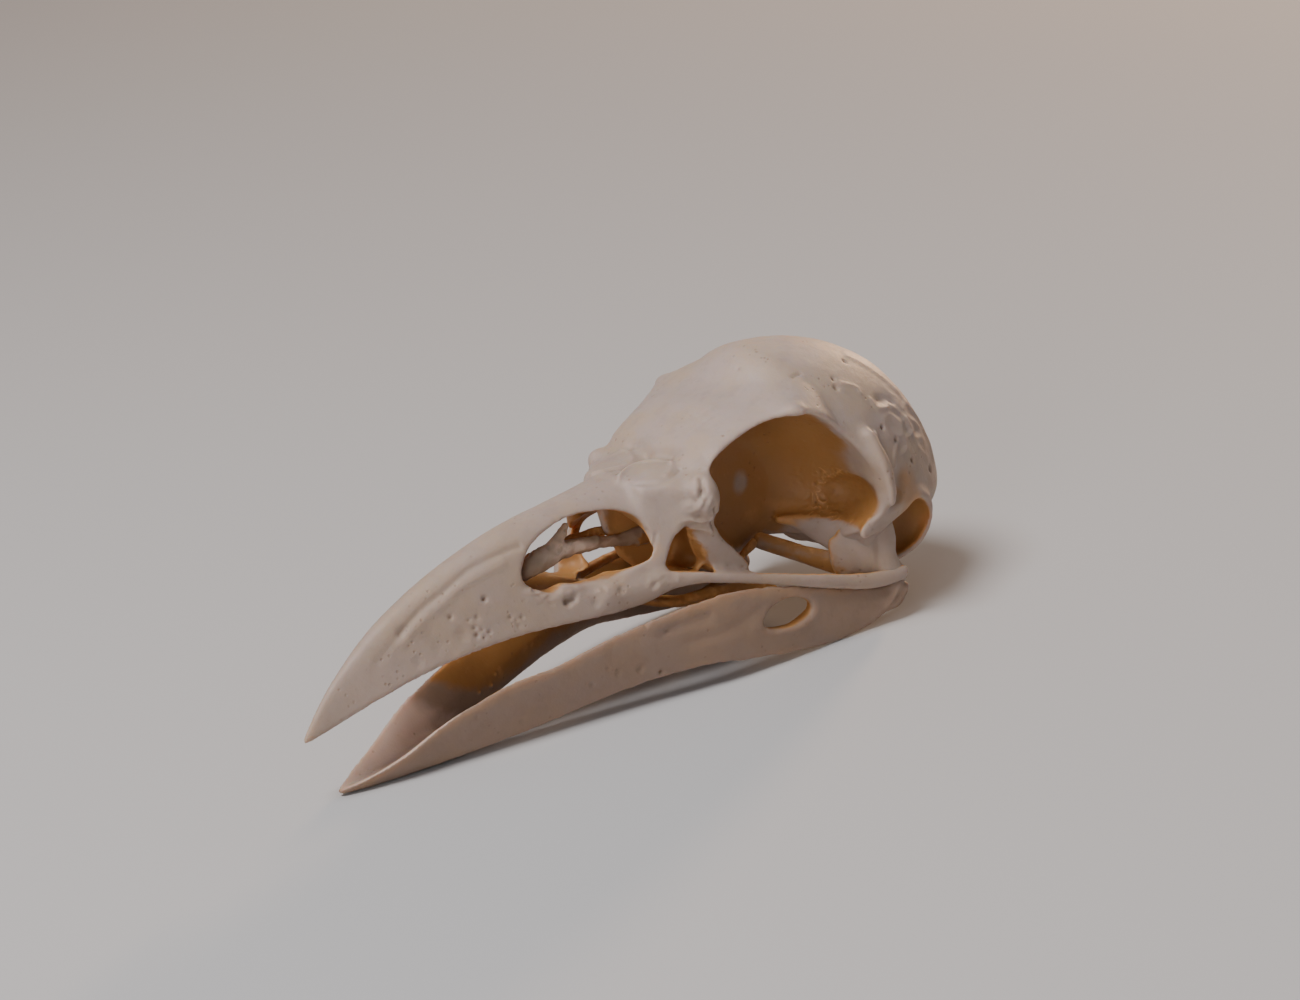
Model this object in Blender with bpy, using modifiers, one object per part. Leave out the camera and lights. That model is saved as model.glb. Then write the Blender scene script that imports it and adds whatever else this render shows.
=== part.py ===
"""A crow's skull with its lower jaw, life size, lying as it would rest on a table.

All sizes are in millimetres and MM turns them into metres. The skull is first modelled along its own
axis: the tip of the upper beak at x = 0, the back of the head near x = 93, the left side at -y,
and z = 0 close to the jugal bars. REST_TILT then turns it about Y, beak up, until the lower jaw
lies on a level surface, and the origin goes to the middle of its underside.
"""

import math

import bmesh
import bpy
import numpy as np
from mathutils import Matrix, Vector

MM = 0.001

# Driving dimensions
BRAINCASE_WIDTH = 31.2
HINGE_X = 48.6               # where the upper beak bends against the forehead
SEAM = 0.35                  # gap between bones that meet
SEPTUM_HALF = 0.55           # half the thickness of the wall between the eyes
SEPTUM_CUT = ((-3.0, 13.5), 68.5, 1.3)     # lower and upper z, rear x and half width of its node
LACRIMAL_CUT = ((-1.0, 14.2), 61.0, 14.0)  # lower and upper z, rear x and outer y of its node
REST_TILT = math.radians(8.0)

# Finish
FINE = 0.36                  # voxel size of the joined shapes
RING = 32                    # points round a lofted section
BONE_ROUGHNESS = 0.62
SKULL_COLOUR = (0.60, 0.53, 0.45)
JAW_COLOUR = (0.56, 0.48, 0.40)
RELAX_ROUNDS = 3
FAR = 60.0                   # half the size of the blocks that part the skull

# Triangles kept in each bone
TRIANGLES = {
    "braincase": 2900,
    "upper_beak": 1700,
    "interorbital_septum": 360,
    "lacrimal": 300,
    "jugal_bar": 150,
    "quadrate": 260,
    "pterygoid": 100,
    "palatine": 240,
    "nasal_rods": 260,
    "mandible": 2000,
}


# ---------------------------------------------------------------- shapes

def smooth_rows(rows, count):
    """Spreads the rows of a short table over count rows, on a smooth curve through all of them."""
    table = np.array(rows, dtype=float)
    padded = np.vstack([2 * table[0] - table[1], table, 2 * table[-1] - table[-2]])
    spread = []
    for step in np.linspace(0, len(table) - 1, count):
        start = min(int(step), len(table) - 2)
        t = step - start
        before, first, second, after = padded[start:start + 4]
        slope_in = (second - before) / 2
        slope_out = (after - first) / 2
        spread.append(
            (2 * t**3 - 3 * t**2 + 1) * first + (t**3 - 2 * t**2 + t) * slope_in
            + (3 * t**2 - 2 * t**3) * second + (t**3 - t**2) * slope_out
        )
    return spread


def bezier(p0, p1, p2, p3, count):
    """Points on a cubic curve, without its last point."""
    points = []
    for t in np.linspace(0, 1, count, endpoint=False):
        s = 1 - t
        points.append(tuple(
            s**3 * a + 3 * s * s * t * b + 3 * s * t * t * c + t**3 * d
            for a, b, c, d in zip(p0, p1, p2, p3)
        ))
    return points


def loft(mesh, rings):
    """Adds a closed solid through rings that have the same number of points."""
    loops = [[mesh.verts.new(Vector(point) * MM) for point in ring] for ring in rings]
    count = len(loops[0])
    for first, second in zip(loops, loops[1:]):
        for i in range(count):
            j = (i + 1) % count
            mesh.faces.new((first[i], first[j], second[j], second[i]))
    mesh.faces.new(loops[0][::-1])
    mesh.faces.new(loops[-1])
    return mesh


def rod(mesh, rows, steps=24, flat_axis=(0, 0, 1)):
    """Adds a rounded bar. Each row holds its centre x, y, z, half its width and half its height,
    the height along flat_axis."""
    table = smooth_rows(rows, steps)
    rings = []
    for i, row in enumerate(table):
        ahead = Vector(table[min(i + 1, steps - 1)][:3])
        behind = Vector(table[max(i - 1, 0)][:3])
        along = (ahead - behind).normalized()
        side = Vector(flat_axis).cross(along).normalized()
        up = along.cross(side).normalized()
        centre = Vector(row[:3])
        rings.append([
            centre + side * row[3] * math.cos(a) + up * row[4] * math.sin(a)
            for a in (2 * math.pi * k / 16 for k in range(16))
        ])
    first_tip = Vector(table[0][:3])
    last_tip = Vector(table[-1][:3])
    nose = (first_tip - Vector(table[1][:3])).normalized() * min(table[0][3:5]) * 0.6
    tail = (last_tip - Vector(table[-2][:3])).normalized() * min(table[-1][3:5]) * 0.6
    rings.insert(0, [first_tip + (p - first_tip) * 0.55 + nose for p in rings[0]])
    rings.append([last_tip + (p - last_tip) * 0.55 + tail for p in rings[-1]])
    return loft(mesh, rings)


def ball(mesh, centre, radii, turn=(0, 0, 0)):
    """Adds an ellipsoid. turn holds its rotations about X, Y and Z in degrees."""
    place = Matrix.Translation(Vector(centre) * MM)
    for axis, angle in zip("ZYX", reversed(turn)):
        place = place @ Matrix.Rotation(math.radians(angle), 4, axis)
    place = place @ Matrix.Diagonal((*(Vector(radii) * MM), 1))
    bmesh.ops.create_icosphere(mesh, subdivisions=5, radius=1, matrix=place)
    return mesh


def outline_prism(mesh, outline, y_from, y_to, count=40):
    """Adds an upright slice: a smooth closed outline in x and z, drawn out along y."""
    closed = smooth_rows(list(outline) + [outline[0]], count + 1)[:-1]
    return loft(mesh, [[(x, y, z) for x, z in closed] for y in (y_from, y_to)])


def slab(mesh, low, high):
    """Adds a plain block between two corners."""
    centre = (Vector(low) + Vector(high)) / 2 * MM
    size = (Vector(high) - Vector(low)) * MM
    place = Matrix.Translation(centre) @ Matrix.Diagonal((*size, 1))
    bmesh.ops.create_cube(mesh, size=1, matrix=place)
    return mesh


# ---------------------------------------------------------------- working with objects

def make_object(name, mesh, group):
    """Turns a bmesh into an object with its faces out."""
    bmesh.ops.recalc_face_normals(mesh, faces=mesh.faces)
    data = bpy.data.meshes.new(name)
    mesh.to_mesh(data)
    mesh.free()
    made = bpy.data.objects.new(name, data)
    group.objects.link(made)
    return made


def settle(thing):
    """Applies an object's modifiers to its mesh."""
    bpy.context.view_layer.update()
    graph = bpy.context.evaluated_depsgraph_get()
    finished = bpy.data.meshes.new_from_object(thing.evaluated_get(graph))
    old = thing.data
    thing.modifiers.clear()
    thing.data = finished
    bpy.data.meshes.remove(old)
    return thing


def remesh(thing):
    step = thing.modifiers.new("join", "REMESH")
    step.mode = "VOXEL"
    step.voxel_size = FINE * MM
    return thing


def puff(thing, distance):
    step = thing.modifiers.new("puff", "DISPLACE")
    step.strength = distance * MM
    step.mid_level = 0
    return thing


def relax(thing):
    step = thing.modifiers.new("relax", "SMOOTH")
    step.iterations = RELAX_ROUNDS
    return thing


def cut(thing, cutter, operation="DIFFERENCE"):
    step = thing.modifiers.new("cut", "BOOLEAN")
    step.operation = operation
    step.solver = "EXACT"
    step.object = cutter
    return thing


def thin_out(thing, triangles):
    """Brings a mesh down to a number of triangles."""
    thing.data.calc_loop_triangles()
    step = thing.modifiers.new("thin", "DECIMATE")
    step.ratio = min(1.0, triangles / len(thing.data.loop_triangles))
    step.use_collapse_triangulate = True
    return thing


def drop(thing):
    data = thing.data
    bpy.data.objects.remove(thing)
    bpy.data.meshes.remove(data)


# ---------------------------------------------------------------- the bones

def mirrored(points):
    """The other half of a section: its points in reverse order with y turned round."""
    return [(x, -y, z) for x, y, z in reversed(points)]


def beak_ring(x, top, low, half, vault, fullness):
    """A section of the upper beak: a rounded roof, sloping sides, sharp lower edges and a vaulted palate."""
    height = top - low
    side = bezier((x, 0, top), (x, fullness * half, top),
                  (x, (fullness + 0.1) * half, low + 0.6 * height), (x, half, low), 11)
    palate = bezier((x, half, low), (x, 0.8 * half, low + 0.4 * vault),
                    (x, 0.5 * half, low + vault), (x, 0, low + vault), 5)
    half_ring = side + palate
    return half_ring + [(x, 0, low + vault)] + mirrored(half_ring[1:])


def face_ring(x, top, rim_y, rim_z, low_y, low_z):
    """A section of the forehead and the face below it."""
    roof = bezier((x, 0, top), (x, 0.55 * rim_y, top), (x, 0.93 * rim_y, rim_z + 1.2), (x, rim_y, rim_z), 10)
    side = bezier((x, rim_y, rim_z), (x, rim_y, rim_z - 2.0), (x, low_y, low_z + 2.0), (x, low_y, low_z), 6)
    half_ring = roof + side
    return half_ring + [(x, 0, low_z)] + mirrored(half_ring[1:])


BEAK = (  # x, ridge height, edge height, half width at the edge, palate vault, fullness of the roof
    (-0.3, -9.3, -10.1, 0.25, 0.1, 0.5),
    (3.2, -4.3, -8.8, 1.25, 0.3, 0.5),
    (8.9, 1.2, -6.1, 2.95, 0.8, 0.5),
    (14.6, 4.9, -3.9, 4.2, 1.2, 0.5),
    (20.3, 7.7, -2.4, 5.15, 1.5, 0.52),
    (28.0, 10.6, -1.2, 6.15, 1.7, 0.54),
    (36.0, 12.5, -0.7, 7.0, 1.7, 0.58),
    (42.0, 13.8, -0.1, 7.7, 1.7, 0.66),
    (48.0, 15.0, 1.8, 8.6, 1.2, 0.8),
)

FACE = (  # x, height on the midline, rim y, rim z, lower y, lower z
    (44.6, 14.5, 5.6, 12.8, 8.0, 2.2),
    (47.0, 15.0, 7.0, 13.4, 8.8, 2.2),
    (49.4, 15.7, 9.0, 13.2, 9.3, 2.2),
    (51.2, 16.9, 10.2, 13.4, 9.6, 2.2),
    (52.8, 18.3, 9.4, 16.2, 9.3, 2.2),
    (56.5, 21.2, 9.6, 18.7, 8.6, 1.6),
    (60.0, 22.9, 10.7, 20.4, 8.0, 1.6),
    (63.4, 24.9, 12.9, 21.1, 8.0, 2.6),
    (67.0, 26.6, 13.2, 20.3, 8.0, 3.4),
    (71.0, 26.8, 13.0, 17.4, 8.0, 3.8),
)

NARIS = (  # outline of the nostril opening in x and z
    (28.4, 6.1), (30.1, 8.4), (33.6, 10.2), (37.4, 11.1), (41.6, 11.2), (44.3, 10.2),
    (44.7, 7.9), (43.4, 5.9), (39.8, 4.6), (35.6, 4.2), (31.4, 3.9), (29.0, 4.7),
)

BRAIN_CENTRE = Vector((68.8, 0.0, 5.5))
BRAIN_RADII = (26.6, BRAINCASE_WIDTH / 2, 22.1)   # of the long egg that the top and back of the head follow
BRAIN_TILT = -5.7            # degrees about Y, back up
BRAIN_FRONT = 10.0           # the egg's forward radius, short because the forehead takes over
BASE_DEPTH = 2.2             # from the egg's middle down to the skull's base
WAIST_Z = 8.4                # below this height the sides of the braincase draw in
WAIST_SHARE = 0.22           # by this share of the width at the base
OCCIPUT_X = 84.0             # behind this the middle of the head is a little flatter than the egg
OCCIPUT_SHARE = 0.2
OCCIPUT_HALF = 8.0

ORBIT_RIM = (  # outline of the eye socket's edge in x and z; it is open below
    (51.6, 14.2), (52.6, 16.4), (55.6, 18.5), (59.8, 20.7), (64.2, 21.3), (68.4, 19.8), (71.9, 16.4),
    (73.9, 12.2), (74.7, 8.2), (73.4, 4.4), (74.4, 1.0), (68.0, -4.0), (60.4, 0.6), (54.6, 5.0), (51.0, 8.6),
    (52.2, 11.8),
)
ORBIT_CENTRE = (63.5, 10.0)
ORBIT_DEPTHS = ((20.0, 1.0), (12.5, 1.0), (8.5, 0.98), (5.5, 0.88), (2.5, 0.74), (0.7, 0.55))  # y, share of the rim
TEMPLE_DENT = ((79.4, 19.6, 11.4), (4.4, 6.4, 5.6))
ANTORBITAL_POCKET = ((49.3, 6.6, 5.6), (3.4, 5.2, 4.0))

SIDES = (("left", -1), ("right", 1))


def braincase_egg(mesh):
    """Adds the braincase: a long egg with a short front, a flat base and sides that draw in below."""
    egg = bmesh.new()
    bmesh.ops.create_icosphere(egg, subdivisions=6, radius=1)
    tilt = Matrix.Rotation(math.radians(BRAIN_TILT), 4, "Y")
    for vert in egg.verts:
        point = Vector([a * b for a, b in zip(vert.co, BRAIN_RADII)])
        if point.x < 0:
            point.x *= BRAIN_FRONT / BRAIN_RADII[0]
        point = tilt @ point
        if point.z < 0:
            point.z *= BASE_DEPTH / BRAIN_RADII[2]
        point += BRAIN_CENTRE
        depth = min(max((WAIST_Z - point.z) / (WAIST_Z - BRAIN_CENTRE.z + BASE_DEPTH), 0), 1)
        point.y *= 1 - WAIST_SHARE * depth * depth * (3 - 2 * depth)
        if point.x > OCCIPUT_X:
            middle = max(1 - (point.y / OCCIPUT_HALF) ** 2, 0)
            point.x -= (point.x - OCCIPUT_X) * OCCIPUT_SHARE * middle
        vert.co = point * MM
    data = bpy.data.meshes.new("egg")
    egg.to_mesh(data)
    egg.free()
    mesh.from_mesh(data)
    bpy.data.meshes.remove(data)


def skull_masses(mesh):
    """Everything solid in the upper skull that grows together."""
    loft(mesh, [beak_ring(*row) for row in smooth_rows(BEAK, 34)])
    loft(mesh, [face_ring(*row) for row in smooth_rows(FACE, 30)])
    braincase_egg(mesh)
    for _, s in SIDES:
        # lacrimal bone and the plate below it, in front of the eye
        ball(mesh, (50.8, s * 8.5, 12.4), (2.6, 1.9, 3.0), (0, 12, 0))
        rod(mesh, [(51.0, s * 9.6, 12.0, 1.7, 2.4), (52.4, s * 9.2, 8.0, 1.3, 1.8),
                   (55.2, s * 8.6, 4.8, 0.8, 1.6), (58.6, s * 8.4, 2.4, 0.6, 0.8)])
        # process behind the eye
        rod(mesh, [(68.0, s * 13.0, 19.4, 1.0, 1.2), (71.8, s * 14.4, 16.0, 0.9, 1.3),
                   (74.6, s * 15.4, 12.0, 0.8, 1.1), (75.4, s * 15.4, 8.5, 0.6, 0.8)])
        # process of the temple, above the jaw joint
        rod(mesh, [(78.4, s * 13.2, 9.6, 1.2, 2.2), (76.3, s * 13.8, 7.2, 0.9, 1.9),
                   (75.0, s * 13.6, 5.4, 0.7, 1.3), (73.4, s * 13.3, 4.2, 0.55, 0.8)])
        # ear capsule and the wing behind the ear
        ball(mesh, (82.0, s * 8.2, 6.2), (5.2, 4.6, 5.0))
        rod(mesh, [(80.6, s * 13.2, 9.4, 1.2, 1.4), (84.2, s * 12.6, 7.8, 0.9, 1.3),
                   (85.2, s * 12.0, 4.4, 0.8, 1.2), (83.6, s * 11.6, 1.4, 0.7, 0.9), (80.8, s * 10.6, 0.6, 0.8, 0.9)])
        # root of the jugal bar
        rod(mesh, [(38.0, s * 6.4, 1.6, 0.9, 1.8), (43.0, s * 7.2, 1.8, 0.9, 1.7), (46.5, s * 8.1, 2.6, 0.8, 1.2),
                   (50.0, s * 8.8, 2.6, 0.65, 0.8)])
    # the base of the skull and its joint with the neck
    ball(mesh, (81.2, 0, 4.2), (7.6, 8.8, 3.6))
    ball(mesh, (89.4, 0, 3.2), (1.5, 1.3, 1.2))


def orbit(mesh, s):
    """An eye socket: the rim's outline, narrowing towards the wall between the eyes."""
    rim = smooth_rows(list(ORBIT_RIM) + [ORBIT_RIM[0]], 61)[:-1]
    middle_x, middle_z = ORBIT_CENTRE
    loft(mesh, [
        [(middle_x + (x - middle_x) * share, s * y, middle_z + (z - middle_z) * share) for x, z in rim]
        for y, share in smooth_rows(ORBIT_DEPTHS, 20)
    ])


def skull_hollows(mesh):
    """Every opening of the upper skull."""
    outline_prism(mesh, NARIS, -12, 12)
    ball(mesh, (38.4, 0, 6.6), (10.4, 4.4, 4.8), (0, -9, 0))
    ball(mesh, (91.4, 0, 5.0), (3.6, 2.9, 2.9), (0, 35, 0))
    for _, s in SIDES:
        orbit(mesh, s)
        (x, y, z), radii = ANTORBITAL_POCKET
        ball(mesh, (x, s * y, z), radii)
        ball(mesh, (81.9, s * 13.6, 4.2), (3.5, 4.8, 3.8), (0, 8, 0))
        (x, y, z), radii = TEMPLE_DENT
        ball(mesh, (x, s * y, z), radii, (0, 20, 0))


def septum_masses(mesh):
    """The thin wall between the eyes and the rod along its lower edge."""
    wall = ((50.5, 1.0), (52.0, 16.0), (60.0, 21.5), (68.0, 22.0), (72.0, 14.0), (73.5, 6.0), (68.0, 3.6),
            (60.0, 0.9))
    outline_prism(mesh, wall, -SEPTUM_HALF, SEPTUM_HALF)
    rod(mesh, [(47.0, 0, 0.6, 0.9, 0.8), (56.0, 0, 0.4, 1.1, 1.1), (62.0, 0, 1.2, 1.1, 1.1),
               (67.0, 0, 2.9, 1.1, 1.1), (71.0, 0, 4.6, 1.4, 1.1), (76.0, 0, 5.8, 2.6, 1.7)])


def jugal_masses(mesh, s):
    rod(mesh, [(46.5, s * 8.1, 2.6, 0.8, 1.2), (50.0, s * 8.8, 2.6, 0.65, 0.8), (52.6, s * 9.2, 2.4, 0.6, 0.75),
               (60.1, s * 10.4, 1.1, 0.6, 0.7), (67.6, s * 11.7, -0.1, 0.6, 0.7), (74.0, s * 12.8, -0.8, 0.65, 0.8),
               (78.2, s * 13.5, -0.7, 0.8, 0.9), (80.2, s * 13.9, -0.6, 0.9, 0.9)], 36)


def palatine_masses(mesh, s):
    rod(mesh, [(42.0, s * 4.4, 0.9, 1.2, 0.6), (50.0, s * 5.0, -0.9, 1.2, 0.7), (56.0, s * 4.8, -1.3, 1.6, 0.7),
               (60.4, s * 3.7, 0.3, 1.4, 0.9), (65.4, s * 1.9, 2.3, 0.8, 0.9)], 24)


def pterygoid_masses(mesh, s):
    rod(mesh, [(66.8, s * 2.1, 3.1, 0.9, 1.1), (69.6, s * 5.0, 2.1, 0.7, 1.0), (72.8, s * 8.2, 1.1, 0.7, 1.1)], 18)


def quadrate_masses(mesh, s):
    rod(mesh, [(79.4, s * 11.8, 6.8, 1.1, 1.4), (78.2, s * 12.2, 4.0, 1.1, 1.6), (77.8, s * 12.5, 1.4, 1.3, 2.3),
               (79.0, s * 12.7, -0.7, 1.7, 2.0)], 18, (1, 0, 0))
    rod(mesh, [(78.6, s * 12.0, 1.8, 1.1, 2.5), (76.0, s * 10.2, 1.3, 0.8, 2.6), (73.2, s * 8.3, 1.5, 0.6, 2.2)], 16)
    rod(mesh, [(79.6, s * 13.2, -0.6, 1.4, 1.0), (78.6, s * 9.4, -0.8, 1.4, 1.0)], 12)


def nasal_masses(mesh):
    for s in (-1, 1):
        rod(mesh, [(30.6, s * 0.9, 4.4, 0.9, 0.9), (34.5, s * 1.1, 6.2, 0.8, 1.2), (39.4, s * 1.3, 6.8, 0.6, 0.8),
                   (44.6, s * 1.4, 6.2, 0.7, 0.9), (51.0, s * 1.2, 5.6, 0.8, 1.2)], 24)
        rod(mesh, [(34.2, s * 1.1, 6.4, 0.6, 1.0), (36.2, s * 1.5, 8.4, 0.6, 0.9), (37.6, s * 1.9, 9.6, 0.5, 0.6)], 12)
    rod(mesh, [(31.5, 0, 4.8, 1.0, 0.5), (40.0, 0, 6.4, 1.2, 0.5), (50.0, 0, 5.6, 1.2, 0.6)], 20)


RAMUS = (  # x, outer y and z of the upper edge, outer y and z of the lower edge, thickness
    (4.3, 0.5, -16.0, 0.1, -16.7, 0.5),
    (8.0, 2.3, -14.2, 0.7, -16.5, 1.1),
    (12.0, 3.6, -12.1, 1.6, -16.0, 1.4),
    (16.0, 4.5, -9.5, 2.7, -15.2, 1.6),
    (20.0, 5.3, -7.6, 3.7, -14.4, 1.7),
    (25.0, 6.3, -5.7, 4.9, -13.3, 1.8),
    (31.0, 7.4, -4.4, 6.2, -11.9, 1.9),
    (38.0, 8.7, -2.1, 8.0, -10.0, 1.9),
    (45.0, 10.0, -0.3, 9.9, -8.5, 1.8),
    (51.5, 11.2, 0.3, 11.6, -7.7, 1.8),
    (57.0, 12.0, 0.8, 12.3, -7.7, 1.8),
    (63.0, 12.7, 0.6, 12.8, -7.9, 1.8),
    (70.0, 13.2, -0.8, 12.9, -7.7, 1.9),
    (76.0, 13.8, -2.0, 13.4, -6.1, 2.6),
    (81.0, 13.9, -2.4, 13.7, -3.4, 1.6),
)

JAW_WINDOW = ((58.0, -4.0), (59.3, -2.3), (62.4, -1.3), (65.2, -1.9), (66.0, -3.2), (63.4, -4.5), (60.2, -4.6))


def ramus_ring(x, top_y, top_z, low_y, low_z, thickness, s):
    """A section of one side of the lower jaw: an upright plate with rounded edges, bulging outwards."""
    ring = []
    count = RING // 2
    for k in range(count):
        t = k / (count - 1)
        swell = math.sin(math.pi * t)
        y = low_y + (top_y - low_y) * t + 0.35 * swell * thickness / 2
        z = low_z + (top_z - low_z) * t
        ring.append((x, s * y, z))
    for k in range(count):
        t = 1 - k / (count - 1)
        swell = math.sin(math.pi * t) ** 0.6
        y = low_y + (top_y - low_y) * t - thickness * (0.35 + 0.65 * swell)
        z = low_z + (top_z - low_z) * t + (0.25 - 0.5 * t) * thickness * 0.5
        ring.append((x, s * y, z))
    return ring


def mandible_masses(mesh):
    for _, s in SIDES:
        loft(mesh, [ramus_ring(*row, s) for row in smooth_rows(RAMUS, 60)])
        ball(mesh, (78.2, s * 12.2, -3.7), (2.8, 2.2, 1.7))
    rod(mesh, [(4.6, 0, -16.3, 0.5, 0.3), (8.0, 0, -15.9, 1.2, 0.5), (12.0, 0, -15.1, 1.9, 0.8),
               (16.0, 0, -14.2, 2.4, 1.0), (20.5, 0, -13.3, 2.8, 0.8)], 24)


def mandible_hollows(mesh):
    outline_prism(mesh, JAW_WINDOW, -18, 18)


# ---------------------------------------------------------------- joining and parting

def carve(name, masses, hollows=None):
    """Joins overlapping solids into one, cuts the hollows out of it and smooths the result."""
    mesh = bmesh.new()
    masses(mesh)
    thing = make_object(name, mesh, bones)
    settle(remesh(thing))
    if hollows:
        mesh = bmesh.new()
        hollows(mesh)
        cutter = make_object(name + "_hollows", mesh, cutters)
        settle(remesh(cutter))
        settle(cut(thing, cutter))
        drop(cutter)
        settle(remesh(thing))
    return settle(relax(thing))


def copy_of(thing, name, group):
    made = bpy.data.objects.new(name, thing.data.copy())
    group.objects.link(made)
    return made


def region(name, low, high):
    mesh = bmesh.new()
    slab(mesh, low, high)
    return make_object(name, mesh, cutters)


def largest_body(thing):
    """Keeps only the largest of the separate bodies in a mesh."""
    mesh = bmesh.new()
    mesh.from_mesh(thing.data)
    unseen = set(mesh.verts)
    bodies = []
    while unseen:
        queue = [unseen.pop()]
        body = list(queue)
        while queue:
            vert = queue.pop()
            for edge in vert.link_edges:
                other = edge.other_vert(vert)
                if other in unseen:
                    unseen.remove(other)
                    queue.append(other)
                    body.append(other)
        bodies.append(body)
    bodies.sort(key=len)
    for body in bodies[:-1]:
        bmesh.ops.delete(mesh, geom=body, context="VERTS")
    mesh.to_mesh(thing.data)
    mesh.free()
    return thing


def keep_clear(thing, neighbours):
    """Cuts a bone back from its neighbours, leaving the seam between them."""
    for neighbour in neighbours:
        swollen = copy_of(neighbour, neighbour.name + "_swollen", cutters)
        settle(puff(swollen, SEAM))
        settle(cut(thing, swollen))
        drop(swollen)
    return largest_body(thing)


def bone_material(name, colour):
    material = bpy.data.materials.new(name)
    material.use_nodes = True
    shader = material.node_tree.nodes["Principled BSDF"]
    shader.inputs["Base Color"].default_value = (*colour, 1)
    shader.inputs["Roughness"].default_value = BONE_ROUGHNESS
    shader.inputs["Metallic"].default_value = 0
    return material


def finish(thing, kind, colour):
    """Evens out a bone's mesh, thins it to its share of triangles and gives it its material."""
    settle(remesh(largest_body(thing)))
    settle(thin_out(largest_body(thing), TRIANGLES[kind]))
    thing.data.materials.clear()
    thing.data.materials.append(bone_material(thing.name + "_bone", colour))
    thing.data.shade_smooth()
    return thing


def mirror_bone(thing, name):
    """The same bone on the right side."""
    other = copy_of(thing, name, bones)
    other.data.transform(Matrix.Diagonal((1, -1, 1, 1)))
    other.data.flip_normals()
    return other


def skull_and_septum(mesh):
    skull_masses(mesh)
    septum_masses(mesh)


def build_skull():
    """The skull, parted into the bones that a person would name."""
    braincase = carve("braincase", skull_and_septum, skull_hollows)
    face_x = HINGE_X + SEAM / 2
    (wall_z0, wall_z1), wall_x, wall_y = SEPTUM_CUT
    (plate_z0, plate_z1), plate_x, plate_y = LACRIMAL_CUT
    beak_box = region("beak_box", (-FAR, -FAR, -FAR), (HINGE_X - SEAM / 2, FAR, FAR))
    wall_box = region("wall_box", (face_x, -wall_y, wall_z0), (wall_x, wall_y, wall_z1))
    plate_box = region("plate_box", (face_x, -plate_y, plate_z0), (plate_x, -wall_y - SEAM, plate_z1))
    beak = copy_of(braincase, "upper_beak", bones)
    septum = copy_of(braincase, "interorbital_septum", bones)
    lacrimal = copy_of(braincase, "lacrimal_left", bones)
    for bone, box in ((beak, beak_box), (septum, wall_box), (lacrimal, plate_box)):
        settle(cut(bone, box, "INTERSECT"))
        drop(box)

    rest = (
        region("face_cut", (-FAR, -FAR, -FAR), (face_x, FAR, FAR)),
        region("wall_cut", (0, -wall_y - SEAM, -FAR), (wall_x + SEAM, wall_y + SEAM, wall_z1 + SEAM)),
        region("plate_cut", (0, -plate_y, -FAR), (plate_x + SEAM, plate_y, plate_z1 + SEAM)),
    )
    for box in rest:
        settle(cut(braincase, box))
        drop(box)
    return braincase, beak, septum, lacrimal


def build():
    braincase, beak, septum, lacrimal = build_skull()
    finish(braincase, "braincase", SKULL_COLOUR)
    finish(beak, "upper_beak", SKULL_COLOUR)
    finish(septum, "interorbital_septum", SKULL_COLOUR)
    finish(lacrimal, "lacrimal", SKULL_COLOUR)
    lacrimal_right = mirror_bone(lacrimal, "lacrimal_right")

    rods = carve("nasal_rods", nasal_masses)
    keep_clear(rods, (beak, septum, lacrimal, lacrimal_right))
    finish(rods, "nasal_rods", SKULL_COLOUR)

    pairs = (
        ("jugal_bar", jugal_masses, (beak,)),
        ("quadrate", quadrate_masses, (braincase, "jugal_bar")),
        ("palatine", palatine_masses, (beak, septum, lacrimal)),
        ("pterygoid", pterygoid_masses, (septum, braincase, "palatine", "quadrate")),
    )
    made = {}
    for kind, masses, neighbours in pairs:
        thing = carve(kind + "_left", lambda mesh, masses=masses: masses(mesh, -1))
        keep_clear(thing, [made.get(near, near) for near in neighbours])
        made[kind] = finish(thing, kind, SKULL_COLOUR)
    everything = [braincase, beak, septum, lacrimal, lacrimal_right, rods]
    for kind, thing in made.items():
        everything += [thing, mirror_bone(thing, kind + "_right")]

    mandible = carve("mandible", mandible_masses, mandible_hollows)
    keep_clear(mandible, [thing for thing in everything if thing.name.startswith(("quadrate", "jugal"))])
    finish(mandible, "mandible", JAW_COLOUR)
    everything.append(mandible)
    return everything


def lay_down(everything):
    """Turns the skull into its rest pose and stands it on z = 0, over the origin."""
    rest = bpy.data.objects.new("crow_skull_at_rest", None)
    bones.objects.link(rest)
    turn = Matrix.Rotation(REST_TILT, 4, "Y")
    points = np.array([turn @ vert.co for thing in everything for vert in thing.data.vertices])
    low = points.min(axis=0)
    high = points.max(axis=0)
    rest.rotation_euler = (0, REST_TILT, 0)
    rest.location = (-(low[0] + high[0]) / 2, -(low[1] + high[1]) / 2, -low[2])
    for thing in everything:
        thing.parent = rest


for thing in list(bpy.data.objects):
    bpy.data.objects.remove(thing)

bones = bpy.data.collections.new("crow_skull")
cutters = bpy.data.collections.new("cutters")
bpy.context.scene.collection.children.link(bones)
bpy.context.scene.collection.children.link(cutters)
lay_down(build())
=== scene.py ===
import math

import bmesh
import bpy
import numpy as np
from mathutils import Matrix, Vector, noise
from mathutils.bvhtree import BVHTree
from mathutils.kdtree import KDTree


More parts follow.
